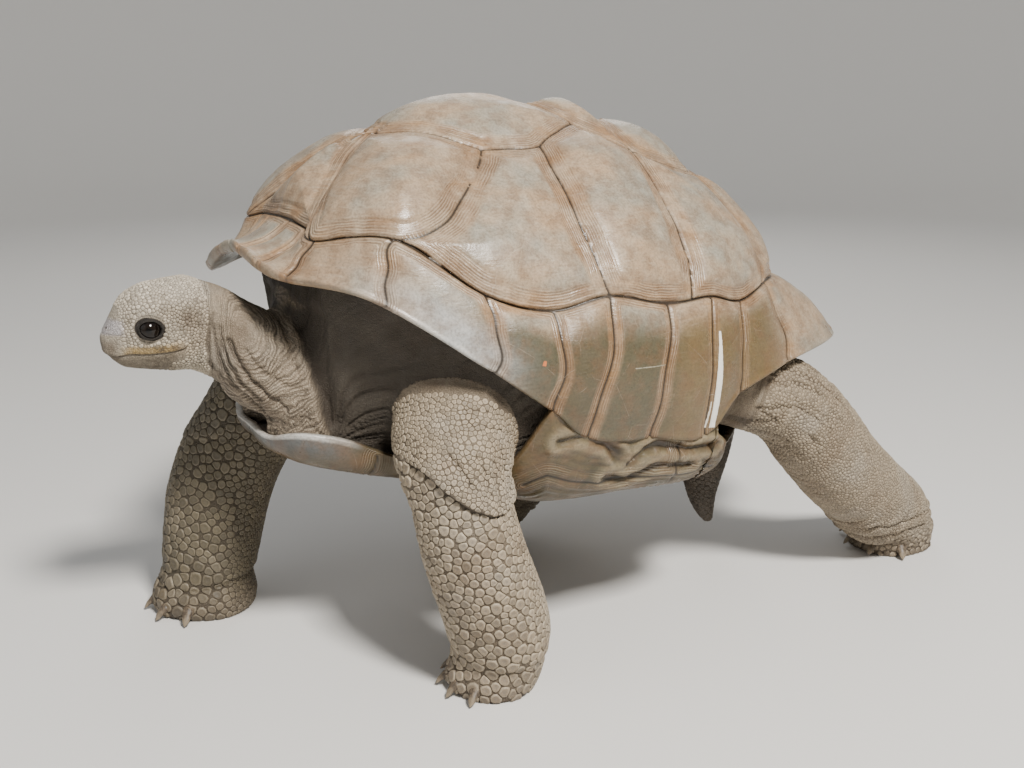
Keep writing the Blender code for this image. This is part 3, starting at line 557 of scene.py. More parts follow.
def plastron_grid(stations, sides, rows, lift, inset, half):
    edge = smooth_curve(PLASTRON_EDGE, stations)
    on_bridge = (stations >= BRIDGE[0]) & (stations <= BRIDGE[1])
    edge = np.where(on_bridge[:, None], rim(stations) - np.array([0.0, 0.0, 0.0008]), edge)
    first, last = -0.440, 0.375
    low_y, high_y = PLASTRON_EDGE[:, 2].min(), PLASTRON_EDGE[:, 2].max()
    along = (edge[:, 1] - low_y) / (high_y - low_y)
    y = first + (last - first) * (0.5 * along + 0.5 * stations / SCUTES)
    keel = np.stack([np.zeros_like(y), y, smooth_curve(KEEL, y)[:, 0]], axis=-1)
    inwards = unit((keel - edge) * np.array([1.0, 1.0, 0.0]))
    grid = []
    for share, drop in rows:
        point = edge + (keel - edge) * share
        low = keel[:, 2] - smooth_curve(BELLY_SAG, keel[:, 1])[:, 0] * (1.0 - share ** 1.5)
        point[:, 2] = edge[:, 2] + (low - edge[:, 2]) * drop + lift * min(1.0, 3 * drop)
        grid.append(point + inwards * inset * (1.0 - share))
    grid = np.stack(grid)
    grid[..., 0] *= sides
    on_midline(grid, half, -1)
    return grid


PLASTRON_ROWS = np.array([(0.0, 0.0), (0.02, 0.34), (0.07, 0.70), (0.15, 0.93), (0.26, 1.0), (0.60, 1.0),
                          (1.0, 1.0)])


def plastron_rows(count):
    share = smooth_curve(bordered(PLASTRON_ROWS), np.linspace(0, 6, count))
    return share.clip(0, 1)


# Grooves along the bridge, under the marginals: (y, z).
BRIDGE_GROOVES = (((-0.118, 0.420), (-0.075, 0.424), (-0.030, 0.404), (0.000, 0.372)),
                  ((0.018, 0.358), (0.045, 0.380), (0.075, 0.385), (0.135, 0.366), (0.200, 0.360)),
                  ((-0.020, 0.340), (0.020, 0.330), (0.080, 0.345), (0.150, 0.335)))


def plastron():
    per_scute = 24
    stations, sides = round_columns(per_scute)
    half = SCUTES * per_scute
    count = 84
    lower = plastron_grid(stations, sides, plastron_rows(count), 0.0, 0.0, half)
    upper = plastron_grid(stations, sides, PLASTRON_ROWS[::2], PLATE, PLATE, half)
    out = outward(lower[::-1], 0.55)[::-1]
    out[-1] = (0.0, 0.0, -1.0)
    row = np.linspace(0, 1, count)[:, None]
    station = np.broadcast_to(stations, lower.shape[:2])
    # Seams: the midline, and the borders between the six pairs of scutes.
    crossings = (-0.375, -0.275, -0.160, 0.165, 0.300)
    lines = []
    y_run = np.linspace(-0.46, 0.40, 400)
    keel = smooth_curve(KEEL, y_run)[:, 0]
    lines.append(np.stack([np.zeros(400), y_run, keel], axis=-1))
    flat = lower.reshape(-1, 3)
    tree = BVHTree.FromPolygons(flat.tolist(), strips(*lower.shape[:2]).tolist())
    for index, y in enumerate(crossings):
        for s in (1.0, -1.0):
            across = np.linspace(0, 0.36, 140)
            bend = y + (0.035 if index in (0, 1) else -0.02) * (across / 0.2) ** 1.5
            line = []
            for x, yy in zip(across, bend):
                hit = tree.ray_cast(Vector((s * x + 1e-5, yy, 0.1)), Vector((0, 0, 1)))
                if hit[0] is not None:
                    line.append(tuple(hit[0]))
            if len(line) > 3:
                lines.append(np.array(line))
    # The border between the marginals and the bridge's scutes runs a little below the edge.
    for s in (1.0, -1.0):
        line = lower[int(0.30 * count), (stations > 5.6) & (stations < 9.9) & (sides == s)]
        lines.append(line[np.argsort(line[:, 1])])
    away, _ = Lines(lines).nearest(lower)
    lumps = noise(lower, 0.04, 41, 3)
    fine = noise(lower, 0.010, 43, 2)
    rise = -0.0022 * bell(away, 0.0030) + 0.0010 * bell(away - 0.007, 0.004)
    waves = np.sin(2 * np.pi * away / 0.013 + 2.5 * noise(lower, 0.07, 45))
    on_bridge = smoothstep(5.4, 6.2, station) * (1 - smoothstep(9.6, 10.4, station))
    on_bridge = on_bridge * (1 - smoothstep(0.4, 0.75, row))
    rise += (0.0005 + 0.0012 * on_bridge) * waves * smoothstep(0.004, 0.010, away) * np.exp(-away / 0.05)
    rise += 0.0010 * lumps + 0.0003 * fine
    beside = smoothstep(0.22, 0.28, abs(lower[..., 0]))
    groove, ridge = np.zeros_like(rise), np.zeros_like(rise)
    for line in BRIDGE_GROOVES:
        off = line_distance(lower[..., 1], lower[..., 2], line) + 0.004 * noise(lower, 0.035, 50)
        groove = np.maximum(groove, beside * bell(off, 0.0055))
        ridge = np.maximum(ridge, beside * bell(off - 0.016, 0.009))
    rise += 0.0050 * ridge - 0.0065 * groove
    rise *= smoothstep(0.0, 0.05, row)
    outer = lower + out * rise[..., None]
    on_midline(outer, half, -1)
    front = smoothstep(-0.36, -0.42, lower[..., 1])
    warm = smoothstep(0.0, 0.6, noise(lower, (0.03, 0.08, 0.03), 47, 2))
    # The underside's base tones are partly its own horn colour and partly painted shade; the pale band along
    # the front's edge is a painted highlight on its lit lip.
    tint = painted(
        colour(84, 73, 50), (colour(58, 52, 36), smoothstep(-0.3, 0.5, lumps)),
        (colour(92, 96, 98), 0.80 * front * smoothstep(0.45, 0.10, row)),
        (colour(206, 204, 198), 0.85 * front * smoothstep(0.075, 0.030, row)),
        (OCHRE * 0.7, 0.30 * warm * (1 - front)),
        (OLIVE, 0.5 * on_bridge * smoothstep(-0.1, 0.4, noise(lower, 0.05, 49))),
        (colour(150, 136, 108), 0.60 * ridge), (DARK, 0.75 * groove))
    tint = tint * (1.0 + 0.10 * fine - 0.5 * bell(away, 0.0025))[..., None]
    rows = np.concatenate([upper[::-1], outer])
    extra = len(upper)
    colours = np.concatenate([np.repeat(tint[:1], extra, axis=0), tint])
    seam = np.concatenate([np.full((extra, away.shape[1]), 0.05), away])
    plateau = np.concatenate([np.ones((extra, away.shape[1])), smoothstep(0.018, 0.030, away)])
    made = mesh_object("shell_underside", rows.reshape(-1, 3), strips(len(rows), rows.shape[1]),
                       {"tint": colours.reshape(-1, 3), "seam": seam.ravel(), "plateau": plateau.ravel()})
    tidy(made)
    return made


# ---------------------------------------------------------------- the skin's shape
# Width of the skin's first mesh. It is halved where more of it shows, on the head, and round the eyes.
VOXEL = 0.0060
# How far the skin lies inside the solids, to leave room for its scales.
COAT_DEPTH = 0.0015
# The (y, z) that the neck's folds curve round.
ARC_CENTRE = (-0.522, 0.580)


def rounded(angles, power):
    """Cosines and sines of angles, bulged towards a square by the power."""
    c, s = np.cos(angles), np.sin(angles)
    return np.sign(c) * abs(c) ** (2 / power), np.sign(s) * abs(s) ** (2 / power)


class Tube:
    """A limb's surface round its axis, and where points lie along and round it."""

    def __init__(self, table, broad, power, on_floor=False, upright=False, count=160):
        values = smooth_curve(bordered(np.array(table)), np.linspace(0, len(table) - 1, count))
        self.centres, self.sizes, self.power = values[:, :3], values[:, 3:5], power
        run = unit(np.gradient(self.centres, axis=0))
        if on_floor:
            level = (self.centres[:, 2:] / 0.12).clip(0, 1)
            run = unit(run * level + np.array([0.0, 0.0, -1.0]) * (1 - level))
        if upright:
            run = np.tile([0.0, -1.0, 0.0], (count, 1))
        broad = np.array(broad)
        self.run = run
        self.broad = unit(broad - run * (run @ broad)[:, None])
        self.depth = np.cross(run, self.broad)
        steps = np.linalg.norm(np.diff(self.centres, axis=0), axis=1)
        self.lengths = np.concatenate([[0.0], np.cumsum(steps)])
        self.tree = KDTree(count)
        for index, centre in enumerate(self.centres):
            self.tree.insert(centre, index)
        self.tree.balance()

    def grid(self, sides, shrink):
        c, s = rounded(turns(sides), self.power)
        sizes = self.sizes - shrink
        return (self.centres[:, None] + self.broad[:, None] * (sizes[:, :1] * c)[..., None]
                + self.depth[:, None] * (sizes[:, 1:] * s)[..., None])

    def where(self, points):
        """How far along the axis each point is, its angle round it, and its direction outwards."""
        index = np.array([self.tree.find(point)[1] for point in points])
        offset = points - self.centres[index]
        ahead = np.sum(offset * self.run[index], axis=1)
        along = self.lengths[index] + ahead
        angle = np.arctan2(np.sum(offset * self.depth[index], axis=1),
                           np.sum(offset * self.broad[index], axis=1))
        return along, angle, unit(offset - self.run[index] * ahead[:, None])


def capped(grid):
    """A tube's grid as points and triangles with fan caps."""
    rows, columns = grid.shape[:2]
    points = np.concatenate([grid.reshape(-1, 3), [grid[0].mean(axis=0)], [grid[-1].mean(axis=0)]])
    quads = strips(rows, columns)
    around = np.arange(columns)
    after = (around + 1) % columns
    first = np.stack([after, around, np.full(columns, rows * columns)], axis=1)
    last = np.stack([around, after, np.full(columns, rows * columns + 1)], axis=1)
    last[:, :2] += (rows - 1) * columns
    tris = np.concatenate([quads[:, [0, 1, 2]], quads[:, [0, 2, 3]], first, last])
    return points, tris


def head_grid(sides=72, count=90):
    table = smooth_curve(bordered(np.array(HEAD)), np.linspace(0, len(HEAD) - 1, count))
    low_half = np.sin(turns(sides)) < 0
    across, tall = rounded(turns(sides), np.where(low_half, 2.55, 2.3))
    rows = []
    for y, top, low, half_width in table:
        middle = low + 0.57 * (top - low)
        half_width = half_width - COAT_DEPTH * 0.6
        reach = np.where(low_half, middle - low, top - middle) - COAT_DEPTH * 0.5
        rows.append(np.stack([across * half_width, np.full(sides, y + COAT_DEPTH * 0.5),
                              middle + reach * tall], axis=-1))
    return np.stack(rows)


def between_rows(grid, places, wanted):
    row = np.clip(np.searchsorted(places, wanted, side="right") - 1, 0, len(places) - 2)
    share = ((wanted - places[row]) / (places[row + 1] - places[row]))[:, None]
    column = np.arange(grid.shape[1])
    return grid[row, column] * (1.0 - share) + grid[row + 1, column] * share


def trunk_grid():
    per_scute = 6
    stations, sides = round_columns(per_scute)
    half = SCUTES * per_scute
    leaves = smooth_curve(bordered(TRUNK_LEAVES[:, None]), stations)[:, 0]
    clear = PLATE + 0.010
    levels = np.concatenate([np.linspace(1, 0, 14), -np.linspace(0, 1, 9)[1:]])
    station, level = np.meshgrid(stations, levels)
    under_shell = inside(shell_point(station, level, np.broadcast_to(sides, station.shape)), clear, half)
    upper = np.stack([between_rows(under_shell, -levels, np.minimum(-v, leaves)) for v in levels])
    lower = plastron_grid(stations, sides, PLASTRON_ROWS[2::2], clear, clear, half)
    start, end = upper[-1], lower[0]
    out = unit(np.stack([end[:, 0], end[:, 1] - end[:, 1].clip(-0.25, 0.25), np.zeros(len(end))], axis=-1))
    bulge = smooth_curve(bordered(SKIN_BULGE[:, None]), stations)[:, 0]
    wall = [start + (end - start) * s + out * (bulge * 4 * s * (1 - s) - COAT_DEPTH)[:, None]
            for s in np.linspace(0, 1, 12)[1:-1]]
    rows = np.concatenate([upper, np.stack(wall), lower])
    on_midline(rows, half, 0, -1)
    quads = strips(len(rows), rows.shape[1])
    return rows.reshape(-1, 3), np.concatenate([quads[:, [0, 1, 2]], quads[:, [0, 2, 3]]])


def flesh_sources():
    """Every flesh form as points and triangles, and the tubes that give places along them."""
    tubes = {name: Tube(table, BROAD[name], 2.3, on_floor=True) for name, table in LEGS.items()}
    tubes["neck"] = Tube([(0.0, y, z, w, h) for y, z, h, w in NECK], (1.0, 0.0, 0.0), 2.2, upright=True)
    tubes["tail"] = Tube([(0.0, y, z, r, r * 0.9) for y, z, r in TAIL], (1.0, 0.0, 0.0), 2.0)
    sources = {name: capped(tube.grid(64, COAT_DEPTH)) for name, tube in tubes.items()}
    sources["head"] = capped(head_grid())
    sources["trunk"] = trunk_grid()
    return sources, tubes


def mesh_arrays(mesh):
    points = np.empty(len(mesh.vertices) * 3)
    mesh.vertices.foreach_get("co", points)
    return points.reshape(-1, 3)


def edges_of(mesh):
    pairs = np.empty(len(mesh.edges) * 2, np.int32)
    mesh.edges.foreach_get("vertices", pairs)
    return pairs.reshape(-1, 2)


def normals_of(mesh, points):
    mesh.vertices.foreach_set("co", points.ravel())
    mesh.update()
    found = np.empty(len(points) * 3)
    mesh.vertex_normals.foreach_get("vector", found)
    return found.reshape(-1, 3)


def relaxed(points, edges, rounds):
    """The points' values, each drawn half way to the mean of its neighbours', some times over."""
    first, second = edges[:, 0], edges[:, 1]
    count = len(points)
    degree = np.bincount(first, minlength=count) + np.bincount(second, minlength=count)
    degree = np.maximum(degree, 1)[:, None]
    for _ in range(rounds):
        total = np.stack([np.bincount(first, points[second, k], count)
                          + np.bincount(second, points[first, k], count)
                          for k in range(points.shape[1])], axis=1)
        points = points + (total / degree - points) * 0.5
    return points


class Fit:
    """Brings points back onto the smooth forms, away from the joins between them."""

    def __init__(self, sources):
        self.names = list(sources)
        self.trees, self.lows, self.highs = [], [], []
        for points, tris in sources.values():
            self.trees.append(BVHTree.FromPolygons(points.tolist(), tris.tolist()))
            self.lows.append(points.min(axis=0) - 0.03)
            self.highs.append(points.max(axis=0) + 0.03)

    def __call__(self, points):
        away = np.full((len(points), len(self.trees)), 0.05)
        place = np.repeat(points[:, None], len(self.trees), axis=1)
        for k, tree in enumerate(self.trees):
            near = np.nonzero(((points > self.lows[k]) & (points < self.highs[k])).all(axis=1))[0]
            for index in near:
                hit = tree.find_nearest(points[index], 0.05)
                if hit[0] is not None:
                    away[index, k] = hit[3]
                    place[index, k] = hit[0]
        order = np.argsort(away, axis=1)
        rows = np.arange(len(points))
        best, second = order[:, 0], away[rows, order[:, 1]]
        share = smoothstep(0.005, 0.022, second)[:, None]
        return points * (1 - share) + place[rows, best] * share, best, second


def finer(mesh, chosen):
    """Splits the faces whose points are all chosen into four."""
    work = bmesh.new()
    work.from_mesh(mesh)
    work.edges.ensure_lookup_table()
    pairs = edges_of(mesh)
    picked = np.nonzero(chosen[pairs[:, 0]] & chosen[pairs[:, 1]])[0]
    edges = [work.edges[index] for index in picked]
    bmesh.ops.subdivide_edges(work, edges=edges, cuts=1, use_grid_fill=True)
    work.to_mesh(mesh)
    work.free()


def base_skin(sources):
    """One closed skin over all the flesh forms, finer where more of it shows."""
    points, tris, start = [], [], 0
    for part_points, part_tris in sources.values():
        points.append(part_points)
        tris.append(part_tris + start)
        start += len(part_points)
    rough = mesh_object("rough", np.concatenate(points) - SHIFT, np.concatenate(tris))
    remesh = rough.modifiers.new("remesh", "REMESH")
    remesh.mode = "VOXEL"
    remesh.voxel_size = VOXEL
    depsgraph = bpy.context.evaluated_depsgraph_get()
    mesh = bpy.data.meshes.new_from_object(rough.evaluated_get(depsgraph))
    bpy.data.objects.remove(rough, do_unlink=True)
    fit = Fit(sources)
    found = relaxed(mesh_arrays(mesh), edges_of(mesh), 10)
    found, part, _ = fit(found)
    mesh.vertices.foreach_set("co", found.ravel())
    for level in range(3):
        found = mesh_arrays(mesh)
        x, y, z = abs(found[:, 0]), found[:, 1], found[:, 2]
        if level == 0:
            trunk = part == fit.names.index("trunk")
            fore = np.isin(part, [fit.names.index("leg_fl"), fit.names.index("leg_fr")])
            chosen = ~(trunk | (fore & (z < 0.28)))
            chosen |= trunk & ((y < -0.34) | ((y < -0.12) & (z < 0.66) & (x > 0.08)))
        elif level == 1:
            chosen = (y < -0.535) & (z > 0.49) & (x < 0.075)
        else:
            chosen = np.linalg.norm(np.stack([x, y, z], 1) - EYE, axis=1) < 0.030
            chosen &= x > 0.03
        finer(mesh, chosen)
        found = relaxed(mesh_arrays(mesh), edges_of(mesh), 2)
        mesh.vertices.foreach_set("co", found.ravel())
    found = mesh_arrays(mesh)
    found, best, second = fit(found)
    found = relaxed(found, edges_of(mesh), 1)
    return mesh, found, best, second, fit.names


# ---------------------------------------------------------------- folds, wrinkles and markings
MOUTH = np.array([(-0.7165, 0.5550), (-0.705, 0.5510), (-0.680, 0.5545), (-0.653, 0.5535), (-0.626, 0.5555),
                  (-0.602, 0.5610), (-0.594, 0.5640)])
# The fold behind the jaw: (y, z).
JAW_BACK = [(-0.556, 0.612), (-0.562, 0.598), (-0.569, 0.565), (-0.566, 0.531)]


def line_distance(y, z, line):
    """Distance in the side view to a polyline of (y, z)."""
    line = np.array(line)
    place = np.stack([y, z], axis=-1)
    best = np.full(y.shape, 1.0)
    for start, end in zip(line[:-1], line[1:]):
        run = end - start
        share = (((place - start) @ run) / (run @ run)).clip(0, 1)
        best = np.minimum(best, np.linalg.norm(place - start - share[..., None] * run, axis=-1))
    return best


# Lumps and hollows on both sides of the head: height, middle (x, y, z), reach (x, y, z).
HEAD_LUMPS = ((0.0030, (0.036, -0.657, 0.630), (0.018, 0.022, 0.010)),
              (-0.0022, (0.034, -0.688, 0.604), (0.014, 0.010, 0.012)),
              (0.0020, (0.056, -0.613, 0.566), (0.020, 0.018, 0.014)),
              (-0.0018, (0.052, -0.622, 0.612), (0.016, 0.010, 0.014)),
              (0.0018, (0.050, -0.600, 0.632), (0.018, 0.024, 0.012)),
              (-0.0016, (0.060, -0.592, 0.594), (0.020, 0.010, 0.011)),
              (0.0012, (0.0, -0.700, 0.603), (0.012, 0.010, 0.010)))


def head_relief(points):
    """Height of the head's features over its plain form, and how dark their hollows are."""
    x, y, z = abs(points[:, 0]), points[:, 1], points[:, 2]
    place, h = np.stack([x, y, z], axis=1), np.zeros(len(points))
    for height, middle, reach in HEAD_LUMPS:
        h += height * bell(np.linalg.norm((place - middle) / reach, axis=1), 1.0)
    mouth = smooth_curve(MOUTH, y)[:, 0]
    on_mouth = smoothstep(-0.592, -0.602, y)
    over = z - mouth
    h -= 0.0026 * bell(over, 0.0013) * on_mouth
    h += 0.0011 * bell(over - 0.0055, 0.0042) * on_mouth
    h -= 0.0016 * smoothstep(0.0, -0.003, over) * smoothstep(-0.604, -0.622, y) * smoothstep(0.515, 0.53, z)
    h += 0.0007 * bell(over + 0.007, 0.003) * smoothstep(-0.61, -0.63, y)
    dark = 0.95 * bell(over, 0.0015) * on_mouth
    plate = 0.5875 - 0.10 * (y + 0.717)
    on_plate = smoothstep(-0.684, -0.690, y)
    h -= 0.0008 * bell(z - plate, 0.0012) * on_plate
    dark = np.maximum(dark, 0.35 * bell(z - plate, 0.0012) * on_plate)
    nostril = np.linalg.norm(np.stack([x - 0.0088, (z - 0.5945) * 1.15], 1), axis=1)
    on_front = smoothstep(-0.699, -0.704, y)
    h -= 0.0030 * smoothstep(0.0030, 0.0014, nostril) * on_front
    h += 0.0006 * bell(nostril - 0.0040, 0.0012) * on_front
    dark = np.maximum(dark, smoothstep(0.0032, 0.0018, nostril) * on_front)
    behind = line_distance(y, z, [*JAW_BACK, (-0.552, 0.512)])
    behind = behind + 0.0015 * noise(points, 0.012, 61)
    h -= 0.0040 * bell(behind, 0.0032) - 0.0018 * bell(behind - 0.008, 0.005)
    dark = np.maximum(dark, 0.80 * bell(behind, 0.0028))
    lined = creases(points, (0.030, 0.0065, 0.0065), 65, 0.20) * smoothstep(-0.672, -0.640, y)
    lined *= smoothstep(0.640, 0.610, z)
    h -= 0.0006 * lined
    dark = np.maximum(dark, 0.35 * lined)
    cheek = line_distance(y, z, [(-0.600, 0.563), (-0.590, 0.570), (-0.580, 0.566)])
    h -= 0.0014 * bell(cheek, 0.0018)
    dark = np.maximum(dark, 0.5 * bell(cheek, 0.0018))
    throat = smoothstep(0.535, 0.522, z) * smoothstep(-0.66, -0.62, y)
    h -= 0.0010 * throat * bell(np.sin(y * 2 * np.pi / 0.014 + 1.2 * noise(points, 0.03, 63)), 0.35)
    return h, dark


def lids(points):
    """The lids close over the eyeball and leave it open in the middle."""
    side = np.sign(points[:, 0])
    x, forward, up = abs(points[:, 0]), -(points[:, 1] - EYE[1]), points[:, 2] - EYE[2]
    across = np.hypot(forward, up)
    tilt = up - 0.10 * forward
    opening = np.hypot(forward / 0.0163, tilt / 0.0130)
    over_ball = EYE[0] + np.sqrt((0.0178 ** 2 - across ** 2).clip(0, None)) + 0.0012
    lid = 0.5 * (over_ball + x + np.sqrt((over_ball - x) ** 2 + 0.0025 ** 2))
    lid += 0.0009 * bell(opening - 1.10, 0.09) - 0.0010 * bell(opening - 1.30, 0.06)
    lid += 0.0005 * bell(opening - 1.43, 0.06) - 0.0007 * bell(opening - 1.57, 0.05)
    share = smoothstep(0.0300, 0.0215, across) * (x > 0.02)
    new_x = x * (1 - share) + lid * share
    open_share = smoothstep(1.02, 0.92, opening)
    new_x = new_x * (1 - open_share) + (EYE[0] + 0.0030) * open_share
    moved = points.copy()
    moved[:, 0] = side * new_x
    # The near-black ring round the opening is partly the lids' dark skin and partly painted shade round the
    # eye.
    dark = share * (1.00 * smoothstep(1.46, 1.20, opening) + 0.30 * smoothstep(1.95, 1.35, opening)
                    + 0.45 * bell(opening - 1.57, 0.06))
    return moved, dark.clip(0, 1)


# The deep folds that sweep from behind the jaw down the neck: (y, z), depth.
NECK_FOLDS = (
    (((-0.559, 0.594), (-0.557, 0.562), (-0.550, 0.529), (-0.536, 0.495), (-0.509, 0.467), (-0.481, 0.446),
      (-0.439, 0.427)), 1.0),
    (((-0.540, 0.570), (-0.531, 0.538), (-0.513, 0.505), (-0.485, 0.478), (-0.449, 0.462),
      (-0.425, 0.455)), 0.9),
    (((-0.519, 0.555), (-0.497, 0.520), (-0.465, 0.498), (-0.431, 0.490)), 0.55),
    (((-0.450, 0.600), (-0.453, 0.570), (-0.451, 0.545), (-0.446, 0.520)), 0.55),
    (((-0.463, 0.590), (-0.468, 0.565), (-0.467, 0.545)), 0.40),
    (((-0.551, 0.590), (-0.549, 0.560), (-0.541, 0.528), (-0.525, 0.497), (-0.497, 0.470)), 0.80),
    (((-0.552, 0.515), (-0.540, 0.482), (-0.512, 0.452), (-0.478, 0.434)), 0.70),
)
# The lower edge of the skin sleeve over the near elbow, the creases in it, and the edge of the neck's
# collar: (y, z).
SLEEVE = np.array([(-0.380, 0.425), (-0.352, 0.412), (-0.339, 0.405), (-0.328, 0.394), (-0.311, 0.374),
                   (-0.284, 0.351), (-0.250, 0.336), (-0.225, 0.332), (-0.190, 0.340)])
SLEEVE_CREASES = (((-0.236, 0.412), (-0.233, 0.375), (-0.230, 0.338)),
                  ((-0.262, 0.425), (-0.252, 0.390), (-0.250, 0.362)),
                  ((-0.215, 0.420), (-0.208, 0.385), (-0.205, 0.355)),
                  ((-0.300, 0.425), (-0.286, 0.398), (-0.276, 0.378)))
COLLAR = np.array([(-0.405, 0.415), (-0.411, 0.432), (-0.421, 0.469), (-0.428, 0.495), (-0.433, 0.520),
                   (-0.436, 0.542), (-0.436, 0.585), (-0.432, 0.601), (-0.425, 0.612)])


def round_place(along, angle, radius=0.08):
    return np.stack([along, np.cos(angle) * radius, np.sin(angle) * radius], axis=1)


def creases(place, sizes, seed, width):
    """Thin lines where a stretched noise passes zero."""
    return bell(noise(place, sizes, seed, 2), width)


def foreleg_folds(points, along, angle, near_side):
    q, z = round_place(along, angle), points[:, 2]
    fine = creases(q, (0.010, 0.045, 0.045), 71, 0.20) * smoothstep(0.0, 0.25, along)
    deep = creases(q, (0.030, 0.13, 0.13), 73, 0.12) * smoothstep(0.24, 0.10, along - 0.05)
    ankle, strength = (0.052, 0.45) if near_side else (0.062, 1.0)
    crease = z - ankle - 0.006 * np.sin(angle * 2 + 1.0)
    height = -0.0006 * fine - 0.0024 * deep
    height -= strength * (0.0045 * bell(crease, 0.0045) - 0.0022 * bell(crease - 0.012, 0.008))
    return height, np.maximum.reduce([0.25 * fine, 0.65 * deep, 0.75 * strength * bell(crease, 0.004)])


def hind_leg_folds(points, along, angle):
    q, z = round_place(along, angle), points[:, 2]
    fine = creases(q, (0.0075, 0.075, 0.075), 75, 0.22)
    mid = creases(q, (0.014, 0.10, 0.10), 79, 0.15)
    lengthwise = creases(q, (0.11, 0.019, 0.019), 77, 0.14) * smoothstep(0.36, 0.22, along)
    heavy = creases(q, (0.024, 0.16, 0.16), 78, 0.13) * smoothstep(0.16, 0.10, z)
    height = -0.0010 * fine - 0.0014 * mid - 0.0046 * lengthwise - 0.0034 * heavy
    shade = np.maximum.reduce([0.34 * fine, 0.42 * mid, 0.85 * lengthwise, 0.75 * heavy])
    for middle, width in ((0.060, 0.0045), (0.086, 0.0035)):
        crease = z - middle - 0.010 * np.cos(angle) - 0.003 * noise(points, 0.03, 80)
        height -= 0.0042 * bell(crease, width) - 0.0018 * bell(crease - 0.011, 0.006)
        shade = np.maximum(shade, 0.80 * bell(crease, width))
    return height, shade


def neck_folds(points):
    x, y, z = points.T
    back = y - ARC_CENTRE[0]
    back = back * (2.4 - 1.4 * smoothstep(-0.02, 0.02, back))
    turn = np.arctan2(ARC_CENTRE[1] - z, back)
    warp = 0.004 * noise(points, 0.03, 81, 2) + 0.010 * noise(points, 0.12, 82)
    reach = np.hypot(back, z - ARC_CENTRE[1]) + warp
    arcs = np.stack([reach, turn * 0.05, x], axis=1)
    fine = creases(arcs, (0.0060, 0.035, 0.07), 83, 0.24)
    deep = creases(arcs, (0.015, 0.10, 0.20), 85, 0.13) * smoothstep(0.62, 0.50, z)
    ring = bell(np.sin(np.pi * reach / 0.0066), 0.36)
    ring *= 0.40 + 0.60 * smoothstep(-0.4, 0.3, noise(points, 0.035, 84))
    height = -0.0008 * fine - 0.0020 * deep - 0.0008 * ring
    shade = np.maximum.reduce([0.30 * fine, 0.55 * deep, 0.20 * ring])
    for line, depth in NECK_FOLDS:
        away = line_distance(y, z, line) + 0.0020 * noise(points, 0.018, 86, 2)
        height += depth * (0.0010 * bell(away - 0.0085, 0.005) - 0.0062 * bell(away, 0.0034))
        shade = np.maximum(shade, depth * bell(away, 0.0038))
    return height, shade


def tail_folds(points, along):
    rings = bell(np.sin(np.pi * (along + 0.002 * noise(points, 0.03, 87)) / 0.014), 0.25)
    return -0.0014 * rings, 0.5 * rings


def trunk_folds(points):
    """Folds that fan out round the root of the nearest leg."""
    x, y, z = points.T
    front = y < 0
    root = np.where(front[:, None], np.array([0.27, -0.27, 0.40]), np.array([0.22, 0.36, 0.40]))
    offset = np.stack([abs(x), y, z], axis=1) - root
    reach = np.linalg.norm(offset, axis=1)
    fan = np.arctan2(offset[:, 2], offset[:, 1] - offset[:, 0] * np.where(front, 1.0, -1.0))
    around = np.stack([fan * 0.16, reach * 0.35, x * 0.3], axis=1)
    fans = creases(around, (0.011, 0.06, 0.06), 91, 0.20)
    big = creases(around, (0.034, 0.14, 0.14), 93, 0.13)
    cross = creases(np.stack([reach, fan * 0.1, x], axis=1), (0.009, 0.05, 0.1), 95, 0.18)
    return (-(0.0018 * fans + 0.0046 * big + 0.0008 * cross),
            np.maximum.reduce([0.45 * fans, 0.50 * big, 0.30 * cross]))


def wrinkle_relief(points, best, names, tubes):
    """Folds and wrinkles away from the face: height, darkness, and the forelegs' rows and angles."""
    h, dark, forelegs = np.zeros(len(points)), np.zeros(len(points)), {}
    for name, tube in tubes.items():
        rows = np.nonzero(best == names.index(name))[0]
        own = points[rows]
        along, angle, _ = tube.where(own)
        if name.startswith("leg_f"):
            h[rows], dark[rows] = foreleg_folds(own, along, angle, name == "leg_fl")
            forelegs[name] = rows, angle
        elif name.startswith("leg_h"):
            h[rows], dark[rows] = hind_leg_folds(own, along, angle)
        elif name == "neck":
            h[rows], dark[rows] = neck_folds(own)
        else:
            h[rows], dark[rows] = tail_folds(own, along)
    trunk = best == names.index("trunk")
    h[trunk], dark[trunk] = trunk_folds(points[trunk])
    return h, dark, forelegs


def sleeve_relief(points, forelegs):
    """The sleeve of skin over each elbow hangs over the forearm in a fold: height and darkness."""
    h, dark = np.zeros(len(points)), np.zeros(len(points))
    for name, (rows, angle) in forelegs.items():
        own = points[rows]
        x, y, z = own.T
        if name == "leg_fl":
            low = np.interp(y, SLEEVE[:, 0], SLEEVE[:, 1]) + 0.003 * noise(own, 0.03, 89)
            side = smoothstep(-0.25, 0.15, (x - 0.31) / 0.08)
        else:
            low, side = 0.345 + 0.02 * np.cos(angle), 0.35
        step = low - z
        height = side * (0.0080 * smoothstep(-0.060, -0.006, step) * smoothstep(0.004, -0.002, step)
                         - 0.0026 * bell(step - 0.004, 0.006))
        shade = 0.95 * side * bell(step - 0.003, 0.0045)
        for line in SLEEVE_CREASES if name == "leg_fl" else ():
            away = line_distance(y, z, line) + 0.0015 * noise(own, 0.02, 90)
            height -= side * 0.0036 * bell(away, 0.0036)
            shade = np.maximum(shade, 0.75 * side * bell(away, 0.0032))
        h[rows], dark[rows] = height, shade
    return h, dark


